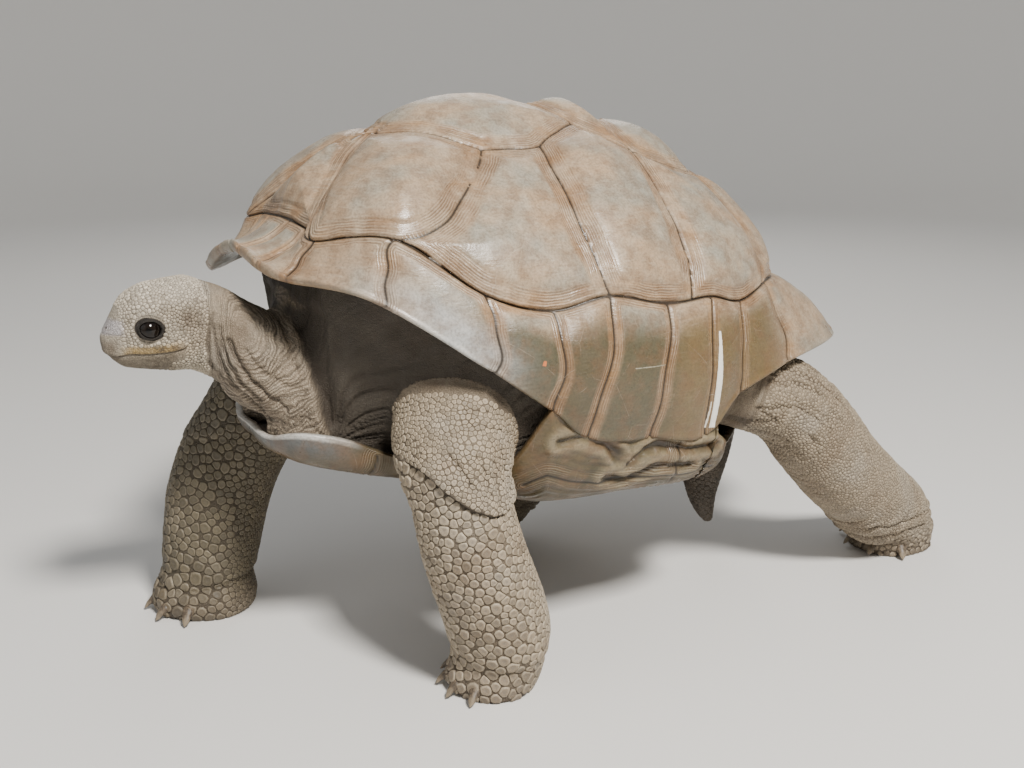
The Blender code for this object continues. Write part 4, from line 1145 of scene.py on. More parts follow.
def collar_relief(points, behind):
    """The neck's loose skin bags and ends in a collar, and the shoulder's skin lies deeper behind it, with
    painted shade just behind the collar.
    """
    x, y, z = abs(points[:, 0]), points[:, 1], points[:, 2]
    beside = smoothstep(0.05, 0.08, x) * smoothstep(0.16, 0.14, x) * smoothstep(0.415, 0.435, z)
    beside *= smoothstep(0.625, 0.600, z)
    bag = smoothstep(0.020, 0.070, x) * smoothstep(0.155, 0.135, x) * smoothstep(0.515, 0.450, z)
    bag *= smoothstep(-0.520, -0.450, y) * smoothstep(0.004, -0.004, behind) * smoothstep(0.385, 0.405, z)
    h = 0.0200 * bag + beside * 0.0020 * bell(behind + 0.006, 0.006)
    h -= beside * 0.0095 * smoothstep(-0.001, 0.004, behind) * smoothstep(0.060, 0.012, behind)
    return h, 0.85 * beside * smoothstep(-0.001, 0.003, behind) * smoothstep(0.030, 0.004, behind)


def bearing(degrees):
    """The level direction at an angle anticlockwise from +X."""
    return np.array([np.cos(np.radians(degrees)), np.sin(np.radians(degrees)), 0.0])


def claw_sites(leg):
    """The middle of a foot on the floor, its mean radius, and the direction of each of its claws."""
    number, (first, last) = CLAWS[leg][:2]
    x, y, _, half_broad, half_depth = LEGS["leg_" + leg][-1]
    ways = [bearing(degrees) for degrees in np.linspace(first, last, number)]
    return np.array([x, y, 0.0]), 0.5 * (half_broad + half_depth), ways


SKIN_TONE, NECK_TONE, LEG_TONE = colour(134, 121, 103), colour(166, 149, 127), colour(142, 127, 106)
DEEP_TONE = colour(58, 49, 40)


def markings_and_painted_shade(points, best, names):
    """The colour of the skin and of the scales rooted there, with some painted shade."""
    y, z = points[:, 1], points[:, 2]
    index = {name: best == k for k, name in enumerate(names)}
    skull = index["neck"] | index["head"]
    far = index["leg_fr"] | index["leg_hr"]
    base = np.tile(SKIN_TONE, (len(points), 1))
    base[skull] = mix(NECK_TONE, colour(170, 160, 143), smoothstep(-0.535, -0.590, y)[skull])
    base[index["leg_fl"] | index["leg_hl"]] = LEG_TONE
    # The far legs, the tail and the trunk under the shell are painted darker and less mottled than the near
    # skin, as painted shade; the tail is also dark of its own.
    base[far] = colour(88, 80, 62)
    base[index["tail"]] = colour(54, 46, 38)
    base[index["trunk"]] = colour(60, 54, 45)
    even = np.where(index["trunk"] | index["tail"] | far, 0.22, 1.0)
    pale = smoothstep(-0.1, 0.6, noise(points, 0.06, 101, 3))
    brown = smoothstep(0.0, 0.6, noise(points, 0.045, 103, 3))
    on_head = index["head"] | (y < -0.57)
    over = z - smooth_curve(MOUTH, y)[:, 0]
    band = smoothstep(0.000, 0.003, over) * smoothstep(0.017, 0.011, over) * smoothstep(-0.600, -0.620, y)
    band *= smoothstep(-0.700, -0.680, y)
    spots = smoothstep(0.25, 0.45, noise(points, 0.0050, 105)) * smoothstep(-0.675, -0.640, y)
    beak = smoothstep(-0.690, -0.706, y) * smoothstep(0.585, 0.570, z)
    jaw = smoothstep(-0.001, -0.004, over) * smoothstep(-0.600, -0.625, y)
    nasal = smoothstep(-0.682, -0.692, y) * smoothstep(0.583, 0.588, z) * smoothstep(0.612, 0.604, z)
    brow = bell(np.hypot((y + 0.662) / 0.024, (z - 0.622) / 0.010), 1.0)
    crown = smoothstep(0.618, 0.650, z)
    specks = smoothstep(0.20, 0.55, noise(points, 0.0055, 107, 2))
    temple_and_neck_shade = bell(np.hypot((y + 0.594) / 0.024, (z - 0.608) / 0.020), 1.0)
    # The second dark patch, on the neck behind the head, is painted shade in the neck's hollow.
    temple_and_neck_shade = np.maximum(temple_and_neck_shade, 0.8 * bell(np.hypot((y + 0.520) / 0.020, (z - 0.584) / 0.022), 1.0))
    cheek = bell(np.hypot((y + 0.600) / 0.024, (z - 0.562) / 0.018), 1.0)
    chin = smoothstep(0.545, 0.530, z) * smoothstep(-0.625, -0.645, y)
    chin = chin * smoothstep(-0.1, 0.4, noise(points, 0.008, 109, 2))
    return painted(
        base, (colour(160, 152, 140), 0.45 * even * pale), (colour(104, 82, 60), 0.36 * even * brown),
        (colour(104, 92, 78), 0.5 * smoothstep(0.09, 0.02, z)),
        (colour(150, 122, 62), 0.82 * band * on_head), (colour(66, 54, 40), 0.75 * band * spots * on_head),
        (colour(84, 68, 50), 0.65 * beak * on_head), (colour(98, 86, 66), 0.70 * jaw * on_head),
        (colour(176, 172, 176), 0.80 * nasal * on_head), (colour(186, 178, 164), 0.55 * brow * on_head),
        (colour(196, 187, 172), 0.60 * crown * on_head),
        (colour(94, 80, 62), 0.55 * specks * on_head * (0.35 + 0.65 * crown)),
        (colour(84, 68, 52), 0.72 * temple_and_neck_shade * skull), (colour(132, 106, 74), 0.40 * cheek * on_head),
        (colour(78, 66, 50), 0.45 * chin * on_head))


def make_skin():
    """The skin as one piece, with the arrays that its scales are placed by."""
    sources, tubes = flesh_sources()
    mesh, points, best, second, names = base_skin(sources)
    on_head, on_neck, on_trunk = (best == names.index(name) for name in ("head", "neck", "trunk"))
    normals = normals_of(mesh, points)
    x, y, z = abs(points[:, 0]), points[:, 1], points[:, 2]
    h, dark, forelegs = wrinkle_relief(points, best, names, tubes)
    face, face_dark = head_relief(points)
    head_share = smoothstep(-0.535, -0.560, y) * (z > 0.49) * (x < 0.08)
    neck_fade = 1 - smoothstep(-0.560, -0.600, y) * head_share
    h = h * neck_fade + face * head_share
    dark = np.maximum(dark * neck_fade, face_dark * head_share)
    # The join between two forms is a soft valley, not a crack.
    h *= np.where(on_head, 1.0, 0.35 + 0.65 * smoothstep(0.004, 0.020, second))
    behind = y - np.interp(z, COLLAR[:, 1], COLLAR[:, 0]) - 0.003 * noise(points, 0.03, 88)
    before = smoothstep(0.003, -0.003, behind) * (x < 0.17) * (z > 0.38) * (z < 0.63) * (y > -0.50)
    for height, shade in (collar_relief(points, behind), sleeve_relief(points, forelegs)):
        h += height
        dark = np.maximum(dark, shade)
    # The skin swells round the root of each claw.
    for leg in CLAWS:
        foot, radius, ways = claw_sites(leg)
        for way in ways:
            root = foot + way * (radius - 0.004) + np.array([0.0, 0.0, 0.020])
            away = np.linalg.norm((points - root) / np.array([1.0, 1.0, 0.9]), axis=1)
            h += 0.0045 * bell(away, 0.014)
    h = np.where(z < 0.006, 0.0, h)
    moved = points + normals * h[:, None]
    moved[:, 2] = np.maximum(moved[:, 2], 0.0)
    lidded, lid_dark = lids(moved)
    near_eye = head_share > 0.5
    moved = np.where(near_eye[:, None], lidded, moved)
    dark = np.where(near_eye, np.maximum(dark, lid_dark), dark)
    edges = edges_of(mesh)
    scaled = relaxed((head_radius(points) > 0)[:, None] * 1.0, edges, 2)[:, 0]
    fore = np.isin(best, [names.index("leg_fl"), names.index("leg_fr")])
    # The near-black ring on the lids is partly their dark skin and partly painted shade round the eye.
    # The trunk in front of the neck's collar takes the neck's own tone in place of the trunk's painted shade.
    tint = painted(
        markings_and_painted_shade(points, best, names), (NECK_TONE * 0.85, before * on_trunk),
        (DEEP_TONE, 0.45 * scaled * head_share), (DEEP_TONE, 0.40 * fore), (DEEP_TONE, 0.80 * dark),
        (colour(9, 8, 7), 0.96 * smoothstep(0.55, 0.95, lid_dark) * near_eye))
    mesh.vertices.foreach_set("co", (moved + SHIFT).ravel())
    mesh.update()
    loose = np.maximum(on_neck * smoothstep(0.001, 0.012, second), before)
    loose = np.maximum(loose * (behind < 0.01), on_head & (y > -0.565))
    loose = relaxed(loose.clip(0, 1)[:, None] * 1.0, edges, 3)[:, 0]
    for key, values in (("tint", tint), ("fold", dark), ("loose", loose)):
        set_attribute(mesh, key, values)
    mesh.shade_smooth()
    return placed("skin", mesh), moved, best, names, tubes, points


# ---------------------------------------------------------------- materials
class Look:
    """A material under construction."""

    def __init__(self, name, roughness=0.6):
        self.material = bpy.data.materials.new(name)
        self.material.use_nodes = True
        self.tree = self.material.node_tree
        self.shader = self.tree.nodes["Principled BSDF"]
        self.shader.inputs["Roughness"].default_value = roughness

    def node(self, kind, inputs=None, **settings):
        made = self.tree.nodes.new(kind)
        for key, value in settings.items():
            setattr(made, key, value)
        for key, value in (inputs or {}).items():
            if isinstance(value, bpy.types.NodeSocket):
                self.tree.links.new(value, made.inputs[key])
            else:
                made.inputs[key].default_value = value
        return made

    def math(self, operation, first, second=0.5):
        return self.node("ShaderNodeMath", {0: first, 1: second}, operation=operation).outputs[0]

    def plus(self, first, second):
        return self.math("ADD", first, second)

    def minus(self, first, second):
        return self.math("SUBTRACT", first, second)

    def times(self, first, second):
        return self.math("MULTIPLY", first, second)

    def span(self, value, low, high, to_low=0.0, to_high=1.0):
        inputs = {"Value": value, "From Min": low, "From Max": high, "To Min": to_low, "To Max": to_high}
        return self.node("ShaderNodeMapRange", inputs, interpolation_type="SMOOTHSTEP").outputs[0]

    def mix(self, share, first, second):
        made = self.node("ShaderNodeMix", data_type="RGBA")
        for key, value in ((0, share), (6, first), (7, second)):
            if isinstance(value, bpy.types.NodeSocket):
                self.tree.links.new(value, made.inputs[key])
            else:
                made.inputs[key].default_value = value if key == 0 else (*value, 1.0)
        return made.outputs[2]

    def attribute(self, name, output="Fac"):
        return self.node("ShaderNodeAttribute", attribute_name=name).outputs[output]

    def place(self, scale=(1.0, 1.0, 1.0)):
        source = self.node("ShaderNodeTexCoord").outputs["Object"]
        return self.node("ShaderNodeMapping", {"Vector": source, "Scale": scale}).outputs[0]

    def noise(self, scale, detail=3.0, stretch=(1.0, 1.0, 1.0)):
        inputs = {"Vector": self.place(stretch), "Scale": scale, "Detail": detail, "Roughness": 0.55}
        return self.node("ShaderNodeTexNoise", inputs).outputs["Fac"]

    def cells(self, scale):
        """Distance to the edges between irregular cells."""
        inputs = {"Vector": self.place(), "Scale": scale}
        return self.node("ShaderNodeTexVoronoi", inputs, feature="DISTANCE_TO_EDGE").outputs["Distance"]

    def finish(self, base=None, rough=None, height=None, distance=0.001, strength=1.0):
        if base is not None:
            self.tree.links.new(base, self.shader.inputs["Base Color"])
        if rough is not None:
            self.tree.links.new(rough, self.shader.inputs["Roughness"])
        if height is not None:
            inputs = {"Height": height, "Distance": distance, "Strength": strength}
            bump = self.node("ShaderNodeBump", inputs)
            self.tree.links.new(bump.outputs[0], self.shader.inputs["Normal"])
        return self.material


# Marks on the shell's left side: lower end (y, z), upper end, half width below and above, colour.
MARKS = (((0.1775, 0.399), (0.1890, 0.560), 0.0062, 0.0022, colour(232, 229, 220)),
         ((0.1655, 0.400), (0.1690, 0.446), 0.0013, 0.0006, colour(214, 208, 196)),
         ((-0.1535, 0.549), (-0.1515, 0.556), 0.0030, 0.0020, colour(196, 112, 64)),
         ((0.0045, 0.5270), (0.0670, 0.5240), 0.0009, 0.0006, colour(150, 144, 126)))


def streak(look, low, high, low_width, high_width):
    """How much of a painted streak covers each place, along a line in the side view."""
    parts = look.node("ShaderNodeSeparateXYZ", {0: look.place()}).outputs
    run = np.array(high) - np.array(low)
    length = float(np.linalg.norm(run))
    (low_y, low_z), (run_y, run_z) = (np.array(low) + SHIFT[1:]).tolist(), (run / length).tolist()
    y, z = look.minus(parts[1], low_y), look.minus(parts[2], low_z)
    along = look.plus(look.times(y, run_y), look.times(z, run_z))
    aside = look.math("ABSOLUTE", look.minus(look.times(y, run_z), look.times(z, run_y)))
    aside = look.plus(aside, look.times(look.minus(look.noise(150.0, 4.0), 0.5), 0.0022))
    inputs = {"Value": along, "From Min": 0.55 * length, "From Max": length,
              "To Min": low_width, "To Max": high_width}
    wide = look.node("ShaderNodeMapRange", inputs).outputs[0]
    inside_line = look.span(look.minus(wide, aside), -0.0003, 0.0005)
    ends = look.times(look.span(along, -0.0010, 0.0005), look.span(along, length + 0.001, length - 0.001))
    near_side = look.span(parts[0], 0.15, 0.16)
    return look.times(look.times(inside_line, ends), look.times(near_side, 0.95))


def shell_look():
    look = Look("shell_horn")
    seam, plateau = look.attribute("seam"), look.attribute("plateau")
    tint = look.attribute("tint", "Color")
    blotches, grain = look.noise(38.0, 5.0), look.noise(260.0, 4.0)
    drags = look.noise(60.0, 6.0, (0.35, 1.0, 4.5))
    base = look.mix(look.span(blotches, 0.40, 0.66, 0.0, 0.42), tint, BROWN * 0.8)
    light = look.span(tint, 0.08, 0.26, 0.15, 1.0)
    base = look.mix(look.times(look.span(drags, 0.50, 0.72, 0.0, 0.24), light), base, PALE * 0.95)
    base = look.mix(look.span(grain, 0.30, 0.62, 0.30, 0.0), base, DARK)
    # Growth rings lie between each seam and the worn middle of the scute.
    rings = look.math("SINE", look.plus(look.times(seam, 1600.0), look.times(look.noise(26.0), 9.0)))
    in_band = look.times(look.minus(1.0, plateau), look.span(seam, 0.002, 0.006))
    uneven = look.times(in_band, look.span(look.noise(16.0, 3.0), 0.36, 0.62, 0.12, 1.0))
    base = look.mix(look.times(look.span(rings, -0.2, 1.0), look.times(uneven, 0.42)), base, BROWN * 0.45)
    base = look.mix(look.times(look.span(rings, 0.1, -1.0), look.times(uneven, 0.18)), base, PALE)
    base = look.mix(look.span(seam, 0.0030, 0.0004, 0.0, 0.85), base, DARK * 0.7)
    scratch = look.span(look.cells(9.0), 0.0035, 0.0, 0.0, 0.30)
    base = look.mix(look.times(scratch, look.span(blotches, 0.45, 0.6)), base, PALE)
    for *line, tone in MARKS:
        base = look.mix(streak(look, *line), base, tone)
    rough = look.span(look.noise(30.0, 4.0), 0.35, 0.70, 0.27, 0.50)
    height = look.plus(look.times(grain, 0.35), look.times(drags, 0.5))
    height = look.plus(height, look.times(look.times(rings, uneven), 0.35))
    look.shader.inputs["Specular IOR Level"].default_value = 0.5
    return look.finish(base, rough, height, 0.0012, 0.8)


def skin_look():
    look = Look("tortoise_skin", 0.72)
    tint, fold = look.attribute("tint", "Color"), look.attribute("fold")
    edges, coarse = look.cells(330.0), look.cells(150.0)
    dust, fine = look.noise(34.0, 5.0), look.noise(420.0, 4.0)
    base = look.mix(look.span(edges, 0.16, 0.0, 0.0, 0.38), tint, DEEP_TONE)
    base = look.mix(look.span(coarse, 0.10, 0.0, 0.0, 0.22), base, DEEP_TONE)
    light = look.times(look.span(tint, 0.06, 0.24, 0.12, 1.0), look.span(fold, 0.5, 0.0))
    dusty = look.times(look.span(dust, 0.42, 0.70, 0.0, 0.30), light)
    base = look.mix(dusty, base, colour(168, 160, 146))
    base = look.mix(look.span(fine, 0.60, 0.30, 0.0, 0.22), base, DEEP_TONE)
    # Fine folds of the neck's loose skin, curving round the back of the jaw.
    parts = look.node("ShaderNodeSeparateXYZ", {0: look.place()}).outputs
    back = look.minus(parts[1], float(ARC_CENTRE[0] + SHIFT[1]))
    back = look.times(back, look.span(back, -0.02, 0.02, 2.4, 1.0))
    down = look.minus(parts[2], float(ARC_CENTRE[1] + SHIFT[2]))
    reach = look.math("SQRT", look.plus(look.times(back, back), look.times(down, down)))
    warp = look.plus(look.times(look.noise(11.0, 2.0), 0.055), look.times(look.noise(60.0, 4.0), 0.0110))
    warped = look.plus(reach, warp)
    arcs, wide = (look.math("SINE", look.times(warped, 2 * np.pi / gap)) for gap in (0.0058, 0.0151))
    gaps = look.times(look.span(arcs, 0.25, 1.0), look.span(look.noise(55.0, 2.0), 0.35, 0.60, 0.35, 1.0))
    gaps = look.math("MAXIMUM", gaps, look.span(wide, 0.72, 1.0))
    loose = look.times(look.attribute("loose"), look.span(reach, 0.010, 0.045))
    gaps = look.times(gaps, loose)
    base = look.mix(look.times(gaps, 0.55), base, DEEP_TONE * 0.8)
    crests = look.times(look.span(arcs, -0.2, -1.0), look.times(loose, look.span(fine, 0.4, 0.6)))
    base = look.mix(look.times(crests, 0.35), base, colour(204, 190, 168))
    rough = look.span(dust, 0.3, 0.7, 0.62, 0.85)
    height = look.plus(look.span(edges, 0.0, 0.22), look.times(look.span(coarse, 0.0, 0.25), 0.8))
    height = look.minus(height, look.times(gaps, 1.6))
    height = look.plus(height, look.times(fine, 0.5))
    height = look.minus(height, look.times(fold, 0.3))
    return look.finish(base, rough, height, 0.0010, 0.75)


# The studio: the floor runs level to COVE_START and sweeps up by a quarter circle into the wall.
COVE_START, COVE_RADIUS, WALL_TOP = 6.0, 2.5, 6.5
FLOOR_TONE, WORLD_TONE, WORLD_STRENGTH = (0.72, 0.71, 0.69, 1.0), (0.93, 0.96, 1.0, 1.0), 0.34
LIT_POINT = Vector((0.0, 0.0, 0.45))
# Each light's place, width, power and colour.
LIGHTS = {"key": ((3.0, -0.3, 3.8), 0.7, 390.0, (1.0, 0.96, 0.90)),
          "fill": ((0.6, -4.2, 2.2), 3.0, 15.0, (0.92, 0.96, 1.0)),
          "back": ((-3.6, 2.0, 3.0), 2.4, 40.0, (1.0, 0.98, 0.95))}
# The photograph's camera: its place, the azimuth and elevation that it looks from, its focal length and
# image width in pixels, and its sensor's width in millimetres.
CAMERA_PLACE = (1.829, -1.010, 0.989)
CAMERA_AZIMUTH, CAMERA_ELEVATION = 61.165, 15.474
FOCAL_PIXELS, IMAGE_WIDTH, SENSOR = 1180.557, 1024.0, 36.0


def make_stage():
    """A pale floor that sweeps up into a pale wall all round, and soft lights."""
    cove = [(COVE_START + COVE_RADIUS * np.sin(a), COVE_RADIUS * (1 - np.cos(a)))
            for a in np.radians([15, 30, 45, 60, 75, 90])]
    profile = [(0.0001, 0.0), (3.0, 0.0), (COVE_START, 0.0), *cove, (COVE_START + COVE_RADIUS, WALL_TOP)]
    sides = 96
    around = turns(sides)
    rings = [np.stack([np.cos(around) * reach, np.sin(around) * reach, np.full(sides, height)], axis=-1)
             for reach, height in profile]
    mesh = bpy.data.meshes.new("floor")
    mesh.from_pydata(np.concatenate(rings).tolist(), [], strips(len(rings), sides)[:, ::-1].tolist())
    mesh.shade_smooth()
    floor = placed("floor", mesh)
    look = Look("floor_paint", 0.9)
    look.shader.inputs["Base Color"].default_value = FLOOR_TONE
    look.shader.inputs["Specular IOR Level"].default_value = 0.2
    mesh.materials.append(look.material)

    world = bpy.data.worlds.new("studio")
    bpy.context.scene.world = world
    world.use_nodes = True
    background = world.node_tree.nodes["Background"]
    background.inputs["Color"].default_value = WORLD_TONE
    background.inputs["Strength"].default_value = WORLD_STRENGTH
    for name, (spot, width, power, tone) in LIGHTS.items():
        light = bpy.data.lights.new(name, "AREA")
        light.size = width
        light.energy = power
        light.color = tone
        lamp = placed(name, light)
        lamp.location = spot
        lamp.rotation_euler = (LIT_POINT - Vector(spot)).to_track_quat("-Z", "Y").to_euler()


def make_camera():
    azimuth, elevation = np.radians(CAMERA_AZIMUTH), np.radians(CAMERA_ELEVATION)
    back = Vector((np.sin(azimuth) * np.cos(elevation), -np.cos(azimuth) * np.cos(elevation),
                   np.sin(elevation)))
    camera = bpy.data.cameras.new("camera")
    camera.sensor_width = SENSOR
    camera.lens = FOCAL_PIXELS * SENSOR / IMAGE_WIDTH
    holder = placed("camera", camera)
    holder.location = Vector(np.array(CAMERA_PLACE) + SHIFT)
    holder.rotation_euler = (-back).to_track_quat("-Z", "Y").to_euler()
    bpy.context.scene.camera = holder


def add_piece(made, look, slot, *nodes):
    """Gives a piece its material and its body, and hides the nodes it stands for. The slot is not used."""
    made.data.materials.clear()
    made.data.materials.append(look)
    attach(made, "root")
    if nodes:
        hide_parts(*nodes)


# ---------------------------------------------------------------- scales, eyes and claws
# How many places are tried for each scale that fits, and how near two scales may come, by their radii.
TRIES, SPACING = 9.0, 0.86
CELL_STEPS = [(dx, dy, dz) for dx in (-1, 0, 1) for dy in (-1, 0, 1) for dz in (-1, 0, 1)]


def scale_seeds(points, tris, radius_of, rng):
    """Places for scales on some triangles, spaced by the radius wanted at each place."""
    a, b, c = points[tris[:, 0]], points[tris[:, 1]], points[tris[:, 2]]
    area = np.linalg.norm(np.cross(b - a, c - a), axis=1) / 2
    wanted = radius_of((a + b + c) / 3)
    weight = np.where(wanted > 0, area / np.maximum(wanted, 1e-4) ** 2, 0.0)
    count = int(TRIES * weight.sum() / 3.2)
    picked = rng.choice(len(tris), count, p=weight / weight.sum())
    u, v = rng.random(count), rng.random(count)
    flip = u + v > 1
    u, v = np.where(flip, 1 - u, u), np.where(flip, 1 - v, v)
    spots = a[picked] + (b[picked] - a[picked]) * u[:, None] + (c[picked] - a[picked]) * v[:, None]
    radii = radius_of(spots)
    cell = max(radii.max() * 2.0, 0.002)
    keys = np.floor(spots / cell).astype(int)
    kept, grid = [], {}

    def crowded(index, kx, ky, kz):
        """Whether a scale that is kept lies too near."""
        for dx, dy, dz in CELL_STEPS:
            for other in grid.get((kx + dx, ky + dy, kz + dz), ()):
                gap = spots[other] - spots[index]
                if gap @ gap < (SPACING * (radii[index] + radii[other])) ** 2:
                    return True
        return False

    for index in range(count):
        key = tuple(keys[index])
        if radii[index] > 0 and not crowded(index, *key):
            kept.append(index)
            grid.setdefault(key, []).append(index)
    return spots[kept], radii[kept]


# Each kind of scale: its rings from foot to middle as (share of its outline, share of its height), its
# number of corners, and half the gap to its neighbours.
SCALE_KINDS = {"plate": (((1.00, -0.7), (0.93, 0.75), (0.72, 1.0), (0.42, 0.72)), 10, 0.00045),
               "grain": (((1.00, -0.6), (0.74, 0.90)), 7, 0.00045),
               "bead": (((1.00, -0.6), (0.88, 0.60), (0.50, 1.0)), 8, 0.00025)}
NEIGHBOURS = 11             # how many neighbours a scale is fitted between
BLEND_POWER = 14            # how sharp the corners between two neighbours' walls are


def scale_mesh(name, spots, radii, ways, tree, tall, kind, tints, roots):
    """Many-cornered scales, each fitted between its neighbours and laid on the skin, as one mesh."""
    profile, corners, gap = SCALE_KINDS[kind]
    count = len(spots)
    helper = np.where(abs(ways[:, 2:]) < 0.9, np.array([[0.0, 0.0, 1.0]]), np.array([[1.0, 0.0, 0.0]]))
    first = unit(np.cross(helper, ways))
    second = np.cross(ways, first)
    near_tree = KDTree(count)
    for index, spot in enumerate(spots):
        near_tree.insert(spot, index)
    near_tree.balance()
    found = [near_tree.find_n(spot, NEIGHBOURS + 1)[1:] for spot in spots]
    other = np.array([[hit[1] for hit in hits] for hits in found])
    gaps = spots[other] - spots[:, None]
    u = np.sum(gaps * first[:, None], axis=2)
    v = np.sum(gaps * second[:, None], axis=2)
    away = np.hypot(u, v)
    share = radii[:, None] / (radii[:, None] + radii[other])
    wall = np.maximum(away * share - gap, radii[:, None] * 0.35)
    turn = np.arctan2(v, u)
    angles = turns(corners) + random_of(np.arange(count), 3)[:, None]
    facing = np.cos(angles[:, :, None] - turn[:, None, :]).clip(0.02, 1.0) / wall[:, None, :]
    limit = 1.0 / (radii * 1.45)
    reach = (np.sum(facing ** BLEND_POWER, axis=2) + limit[:, None] ** BLEND_POWER) ** (-1 / BLEND_POWER)
    rings, heights, rims, locals_ = [], [], [], []
    tallness = tall * radii / np.mean(radii)
    for out, up in profile:
        rings.append(spots[:, None] + first[:, None] * (np.cos(angles) * reach * out)[..., None]
                     + second[:, None] * (np.sin(angles) * reach * out)[..., None])
        heights.append(np.repeat((tallness * up)[:, None], corners, axis=1))
        rims.append(np.full((count, corners), out))
        locals_.append(np.stack([np.cos(angles), np.sin(angles)], axis=-1) * 0.0015 * out)
    rings = np.stack(rings, axis=1).reshape(count, -1, 3)
    points = np.concatenate([rings, spots[:, None]], axis=1)
    heights = np.concatenate([np.stack(heights, axis=1).reshape(count, -1),
                              (tallness * profile[-1][1] * 0.92)[:, None]], axis=1)
    rims = np.concatenate([np.stack(rims, axis=1).reshape(count, -1), np.zeros((count, 1))], axis=1)
    local = np.concatenate([np.stack(locals_, axis=1).reshape(count, -1, 2), np.zeros((count, 1, 2))], axis=1)
    flat = points.reshape(-1, 3)
    laid = np.array([tree.find_nearest(point)[0] for point in flat]).reshape(points.shape)
    laid = laid + ways[:, None] * heights[..., None]
    laid[..., 2] = np.maximum(laid[..., 2], 0.0)
    per = points.shape[1]
    k = np.arange(corners)
    quads = strips(len(profile), corners)
    last = (len(profile) - 1) * corners
    fan = np.stack([last + k, last + (k + 1) % corners, np.full(corners, per - 1)], axis=1)
    starts = (np.arange(count) * per)[:, None, None]
    faces = [(quads[None] + starts).reshape(-1, 4), (fan[None] + starts).reshape(-1, 3)]
    chance = np.repeat(random_of(np.arange(count) + 7, 5)[:, None], per, axis=1)
    colours = np.repeat(tints[:, None], per, axis=1)
    made = mesh_object(name, laid.reshape(-1, 3), faces,
                       {"tint": colours.reshape(-1, 3), "rim": rims.ravel(), "chance": chance.ravel()})
    layer = made.data.uv_layers.new(name="OFBake")
    uv = (roots[:, None] + local).reshape(-1, 2)
    order = np.concatenate([block.ravel() for block in faces])
    layer.data.foreach_set("uv", uv[order].ravel())
    return made


# Each part's column and row in the unit square of unwraps.
SKIN_CHARTS = {"leg_fl": (0, 0), "leg_fr": (1, 0), "leg_hl": (2, 0), "leg_hr": (0, 1), "neck": (1, 1),
               "tail": (2, 1), "head": (0, 2), "trunk": (1, 2)}


def unwrapped(name, spots, tube):
    """A place for each spot on an unwrap of the part's own surface."""
    if tube is None:
        angle = np.arctan2(spots[:, 2] - 0.59, spots[:, 0])
        along = spots[:, 1] + 0.72
    else:
        along, angle, _ = tube.where(spots)
    share = np.stack([angle / (2 * np.pi) + 0.5, along / 0.62], axis=1).clip(0.01, 0.99)
    return (np.array(SKIN_CHARTS[name]) + 0.04 + 0.92 * share) / 3


def chance_at(spots):
    """A steady random value from 0 to 1 for each place."""
    return random_of(np.floor(spots[:, 0] * 3e4) + np.floor(spots[:, 2] * 7e4), 2)


def leg_radius(name, tube):
    """Scale radius at a place on a leg: large and flat in front and outside, small behind."""
    forward = {"leg_fl": (0.75, -0.75, 0.0), "leg_fr": (0.15, -1.0, 0.0)}.get(name, (0.3, -0.6, 0.5))

    def radius(spots):
        along, _, way = tube.where(spots)
        z = spots[:, 2]
        faces = way @ unit(np.array(forward))
        if name.startswith("leg_f"):
            big = smoothstep(-0.35, 0.65, faces)
            size = 0.0036 + 0.0030 * big + 0.0018 * big * smoothstep(0.22, 0.06, z)
            if name == "leg_fl":
                under = np.interp(spots[:, 1], SLEEVE[:, 0], SLEEVE[:, 1]) - z
                size = np.where(under < 0.0, 0.0036, size)
                size = np.where(abs(under - 0.002) < 0.0045, 0.0, size)
            else:
                size = size * 1.12
            start = 0.090
        else:
            size = 0.0027 + 0.0006 * smoothstep(0.0, 0.8, faces) + 0.0030 * smoothstep(0.07, 0.03, z)
            start = 0.142
        shown = (along > start) & (z > 0.004)
        return np.where(shown, size * (0.78 + 0.44 * chance_at(spots)), 0.0)
    return radius


def head_radius(spots):
    x, y, z = abs(spots[:, 0]), spots[:, 1], spots[:, 2]
    eye = np.linalg.norm(np.stack([x, y, z], 1) - EYE, axis=1)
    mouth = smooth_curve(MOUTH, y)[:, 0]
    size = np.full(len(spots), 0.0025)
    size = np.where(z > 0.635, 0.0021 + 0.0010 * smoothstep(-0.60, -0.68, y), size)
    size = np.where((y > -0.625) & (z < 0.62), 0.0022, size)
    size = size * (0.8 + 0.4 * chance_at(spots))
    bare = (y < -0.690) | (eye < 0.0255) | ((z < mouth + 0.013) & (z > mouth - 0.02) & (y < -0.600))
    bare |= (z < 0.535) & (y < -0.62)
    behind = line_distance(y, z, JAW_BACK)
    bare |= behind < 0.0045
    return np.where(bare | (y > -0.565), 0.0, size)


